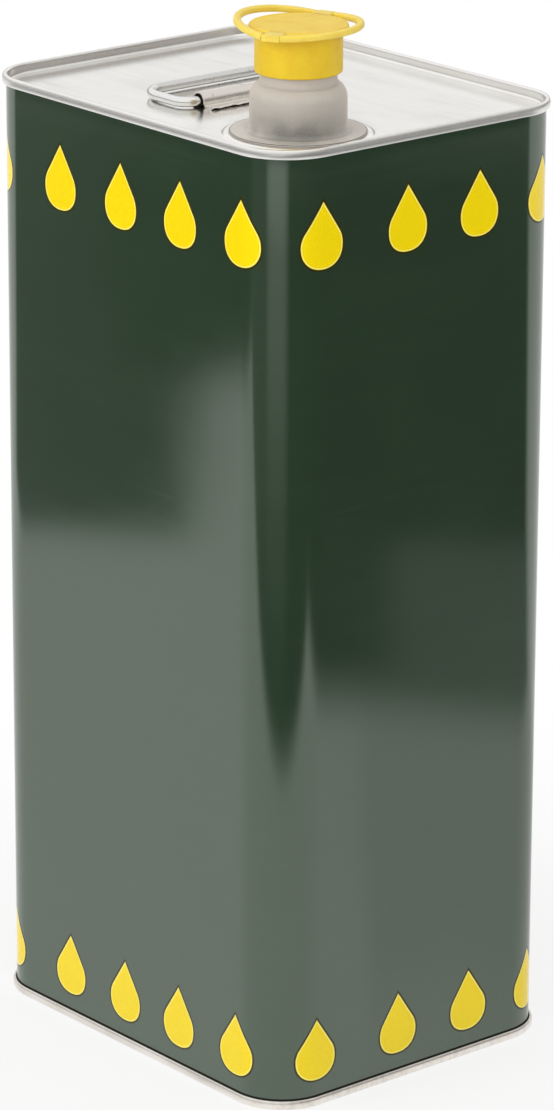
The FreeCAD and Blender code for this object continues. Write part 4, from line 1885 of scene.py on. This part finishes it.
    def build_bail(self, finishes: FinishSet, side: int, lift: float, name: str, node: str) -> bpy.types.Object:
        """Half ring: a rounded bar taken round its circle, cut square beside the lugs and lifted on its hinge.

        Args:
            finishes: The finishes.
            side: 1 or -1, the side of the lugs.
            lift: Angle that it stands up by.
            name: Name of the piece.
            node: Solid that it stands for.

        Returns:
            The piece.
        """
        loop = self.bar_section(self.bail_width / 2, self.bail_rounding)
        radius = self.bail_radius - self.bail_width / 2 + loop[:, 0]
        first = np.arcsin((self.lug_width / 2 + self.hinge_gap) / radius)[None, :]
        turn = first + np.linspace(0, 1, self.bail_stations)[:, None] * (math.pi - 2 * first)
        height = np.broadcast_to(loop[None, :, 1], turn.shape)
        loops = np.stack([radius[None, :] * np.cos(turn), radius[None, :] * np.sin(turn), height], axis=-1)
        hinge = (0, self.lug_width / 2 + self.hinge_offset, self.top)
        raised = turned_about(loops, "X", lift, hinge)
        piece = MeshMaker().capped(self.placed(raised, side)).make(name, 50)
        return dress(piece, [finishes.cap], [node])

    def build(self, finishes: FinishSet) -> None:
        """Makes the cap, its seal and the half rings, each on its own body.

        Args:
            finishes: The finishes of the tin.
        """
        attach(self.build_shell(finishes), Body.CAP.value)
        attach(self.build_liner(finishes), Body.SEAL.value)
        left = self.build_bail(finishes, 1, self.left_lift, "lift_ring_left", "bail_left")
        right = self.build_bail(finishes, -1, self.right_lift, "lift_ring_right", "bail_right")
        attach(left, Body.LEFT_BAIL.value)
        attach(right, Body.RIGHT_BAIL.value)


@dataclass(frozen=True)
class AreaLamp:
    """Square soft lamp that looks at a point and leaves no bright spot in metal; places in metres."""

    name: str
    place: Place
    target: Place
    size: float
    power: float

    def build(self) -> None:
        """Makes the lamp and points it."""
        lamp = bpy.data.lights.new(self.name, "AREA")
        lamp.shape = "SQUARE"
        lamp.size = self.size
        lamp.energy = self.power
        holder = bpy.data.objects.new(self.name, lamp)
        holder.location = self.place
        holder.visible_glossy = False
        holder.rotation_euler = (Vector(self.target) - Vector(self.place)).to_track_quat("-Z", "Y").to_euler()
        bpy.context.scene.collection.objects.link(holder)


@dataclass(frozen=True)
class FloorFinish(Finish):
    """Pale floor: white to the camera, with the tin's soft shadow, and white near the tin in its reflections."""

    name: str = "studio_floor"
    colour: Colour = (0.9, 0.9, 0.89, 1.0)
    dark: float = 0.06
    far: float = 0.32
    back_left: float = 0.14
    back_left_edge: Pair = (-0.09, 0.01)
    back_left_side: Pair = (-0.3, 0.0)
    back_right: float = 0.24
    back_right_edge: Pair = (-0.05, -0.01)
    back_right_sides: tuple[Pair, Pair] = ((0.2, 0.3), (0.57, 0.63))
    beside: float = 0.13
    beside_spread: tuple[Pair, Pair] = ((-0.97, -0.86), (-0.6, -0.42))
    beside_edge: Pair = (0.45, 0.8)
    shadow: float = 0.22
    shadow_reach: Pair = (0.1, 0.34)
    front_way: Pair = (0.75, -0.66)
    right_way: Pair = (0.66, 0.75)
    leaf_way: Pair = (0.643, -0.766)
    back_way: Pair = (-0.616, 0.788)
    ahead_way: Pair = (0.559, -0.829)
    front_edge: Pair = (0.36, 0.44)
    right_edge: Pair = (0.35, 0.45)
    right_dim: float = 0.16
    right_dim_edge: Pair = (0.02, 0.2)
    left_edge: Pair = (-0.614, -0.554)
    leaf_left_edge: Pair = (-0.87, -0.79)
    leaf_back_edge: Pair = (0.043, 0.063)
    behind_edge: Pair = (0.1, 0.3)
    ahead_spread: Pair = (0.9, 0.99)
    ahead_glow: Pair = (0.42, 1.1)
    ahead_edge: Pair = (1.12, 1.22)
    ahead_glow_share: float = 0.48
    far_edge: Pair = (1.22, 1.5)

    def mirrored_share(self, x: Term, y: Term) -> Term:
        """How white the floor is in reflections.

        A white table top lies under the tin: it ends in front of the tin's front corner, at its right and at its
        left, with a leaf that reaches further left, and all is white behind it. The floor past it is dark, and
        grows lighter again far out in front, a little beside that and at the back of both ends, and further off.

        Args:
            x: Place on the floor along X, in metres.
            y: Place on the floor along Y, in metres.

        Returns:
            1 where it is white, 0 where it is dark.
        """
        front, right = x.along(y, self.front_way), x.along(y, self.right_way)
        top = (1 - front.rise(*self.front_edge)) * (1 - right.rise(*self.right_edge))
        table = top * right.rise(*self.left_edge) * (1 - self.right_dim * right.rise(*self.right_dim_edge))
        leaf = top * right.rise(*self.leaf_left_edge) * x.along(y, self.leaf_way).rise(*self.leaf_back_edge)
        back = x.along(y, self.back_way)
        behind = back.rise(*self.behind_edge)
        faint_left = back.rise(*self.back_left_edge) * (1 - right.rise(*self.back_left_side)) * self.back_left
        faint_right = back.rise(*self.back_right_edge) * right.between(*self.back_right_sides) * self.back_right
        away = x.hypotenuse(y)
        ahead = (x.along(y, self.ahead_way) / away).rise(*self.ahead_spread)
        glow = away.rise(*self.ahead_glow) * self.ahead_glow_share
        ahead = ahead * (glow + away.rise(*self.ahead_edge) * (1 - self.ahead_glow_share))
        aside = right / away
        beside = aside.between(*self.beside_spread) * away.rise(*self.beside_edge) * self.beside
        far = away.rise(*self.far_edge) * self.far
        faint = faint_left.larger(faint_right).larger(beside)
        return table.larger(leaf).larger(behind).larger(ahead).larger(faint).larger(far)

    def shader(self, graph: Graph) -> Term:
        """Diffuse floor; camera rays see it fade to plain white, glossy rays see the table top.

        Args:
            graph: Graph to write into.

        Returns:
            The surface.
        """
        x, y, _ = graph.parts(graph.place())
        straight, glossy = graph.rays()
        away = x.hypotenuse(y)
        plain = graph.term(graph.node("ShaderNodeBsdfDiffuse", None, {"Color": self.colour}))
        white = graph.term(graph.node("ShaderNodeEmission", None, {"Color": (1, 1, 1, 1), "Strength": 1.0}))
        black = graph.term(graph.node("ShaderNodeEmission", None, {"Color": (1, 1, 1, 1), "Strength": self.dark}))
        mirrored = graph.blend(self.mirrored_share(x, y), black, white)
        whiteness = 1 - self.shadow + self.shadow * away.rise(*self.shadow_reach)
        seen = graph.blend(straight * whiteness, plain, white)
        return graph.blend(glossy, seen, mirrored)


@dataclass(frozen=True)
class Studio:
    """Floor, lamps, surroundings and camera; places in metres."""

    floor: FloorFinish = FloorFinish()
    floor_radius: float = 6.0
    floor_level: float = -0.00015
    floor_rings: int = 24
    ambient: float = 0.66
    low_sky: float = 0.32
    sky_edge: Pair = (0.08, 0.24)
    side_dark: float = 0.55
    side_way: Pair = (0.766, 0.643)
    side_edge: Pair = (0.25, 0.8)
    side_top: Pair = (0.32, 0.5)
    over_dark: float = 0.26
    over_north: Pair = (0.35, 0.58)
    over_edge: Pair = (0.36, 0.5)
    dark_tint: Colour = (1.0, 0.94, 0.88, 1.0)
    tint_edge: Pair = (0.3, 0.9)
    lamps: tuple[AreaLamp, ...] = (
        AreaLamp("key_lamp", (-0.28, -1.56, 1.05), (0, 0, 0.2), 0.9, 9.6),
        AreaLamp("front_lamp", (1.41, -0.82, 0.96), (0, 0, 0.2), 0.9, 6.2),
        AreaLamp("top_lamp", (-0.2, 0.1, 1.9), (0, 0, 0.2), 1.4, 4.5),
    )
    camera_place: Place = (1.2428741, -1.0381705, 0.6879931)
    camera_right: Place = (0.6409, 0.7676, 0.0038)
    camera_forward: Place = (-0.7286, 0.6098, -0.3119)
    lens: float = 171.05
    sensor: float = 36.0
    clip: Pair = (0.05, 50.0)

    def build_floor(self) -> None:
        """Round floor: a disc of rings and spokes at the height of the tin's foot."""
        radius = np.linspace(0, 1, self.floor_rings) ** 2 * self.floor_radius / MM
        points = revolved(paired(radius, self.floor_level / MM), (0.0, 0.0))
        floor = MeshMaker().grid(points, False, True).make("floor")
        floor.data.materials.append(self.floor.material())

    def build_surroundings(self) -> None:
        """Even white surroundings, dimmer where they only light the tin, darker low down in its reflections."""
        world = bpy.data.worlds.new("studio")
        world.use_nodes = True
        graph = Graph(world.node_tree)
        straight, glossy = graph.rays()
        direction = graph.term(graph.node("ShaderNodeTexCoord"), "Generated")
        east, north, up = graph.parts(direction)
        side = east.along(north, self.side_way).rise(*self.side_edge) * (1 - up.rise(*self.side_top))
        overhead = north.rise(*self.over_north) * up.rise(*self.over_edge)
        mirrored = self.low_sky + (1 - self.low_sky) * up.rise(*self.sky_edge)
        mirrored = mirrored * (1 - self.side_dark * side) * (1 - self.over_dark * overhead)
        strength = self.ambient + straight * (1 - self.ambient)
        strength = strength + glossy * (mirrored - strength)
        tint = graph.mix(glossy * (1 - mirrored.rise(*self.tint_edge)), (1, 1, 1, 1), self.dark_tint)
        sky = graph.node("ShaderNodeBackground", None, {"Color": tint, "Strength": strength})
        graph.node("ShaderNodeOutputWorld", None, {"Surface": graph.term(sky)})
        bpy.context.scene.world = world

    def build_camera(self) -> None:
        """Camera at the photograph's place, squared up from its right and forward directions."""
        forward = Vector(self.camera_forward).normalized()
        right = Vector(self.camera_right)
        right = (right - forward * right.dot(forward)).normalized()
        up = right.cross(forward)
        data = bpy.data.cameras.new("camera")
        data.lens = self.lens
        data.sensor_width = self.sensor
        data.clip_start, data.clip_end = self.clip
        camera = bpy.data.objects.new("camera", data)
        columns = Matrix((right, up, -forward)).transposed().to_4x4()
        camera.matrix_world = Matrix.Translation(self.camera_place) @ columns
        bpy.context.scene.collection.objects.link(camera)
        bpy.context.scene.camera = camera

    def build(self) -> None:
        """Makes the whole studio."""
        bpy.context.scene.view_settings.view_transform = "Standard"
        self.build_floor()
        self.build_surroundings()
        for lamp in self.lamps:
            lamp.build()
        self.build_camera()


def main() -> None:
    """Loads the frame, builds the tin piece by piece, then the studio."""
    logging.basicConfig(level=logging.INFO, format="%(name)s: %(message)s")
    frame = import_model()
    finishes = FinishSet()
    TinBody().build(finishes, frame["nodes"])
    Handle().build(finishes)
    Spout().build(finishes)
    Cap().build(finishes)
    Studio().build()


if __name__ == "__main__":
    main()
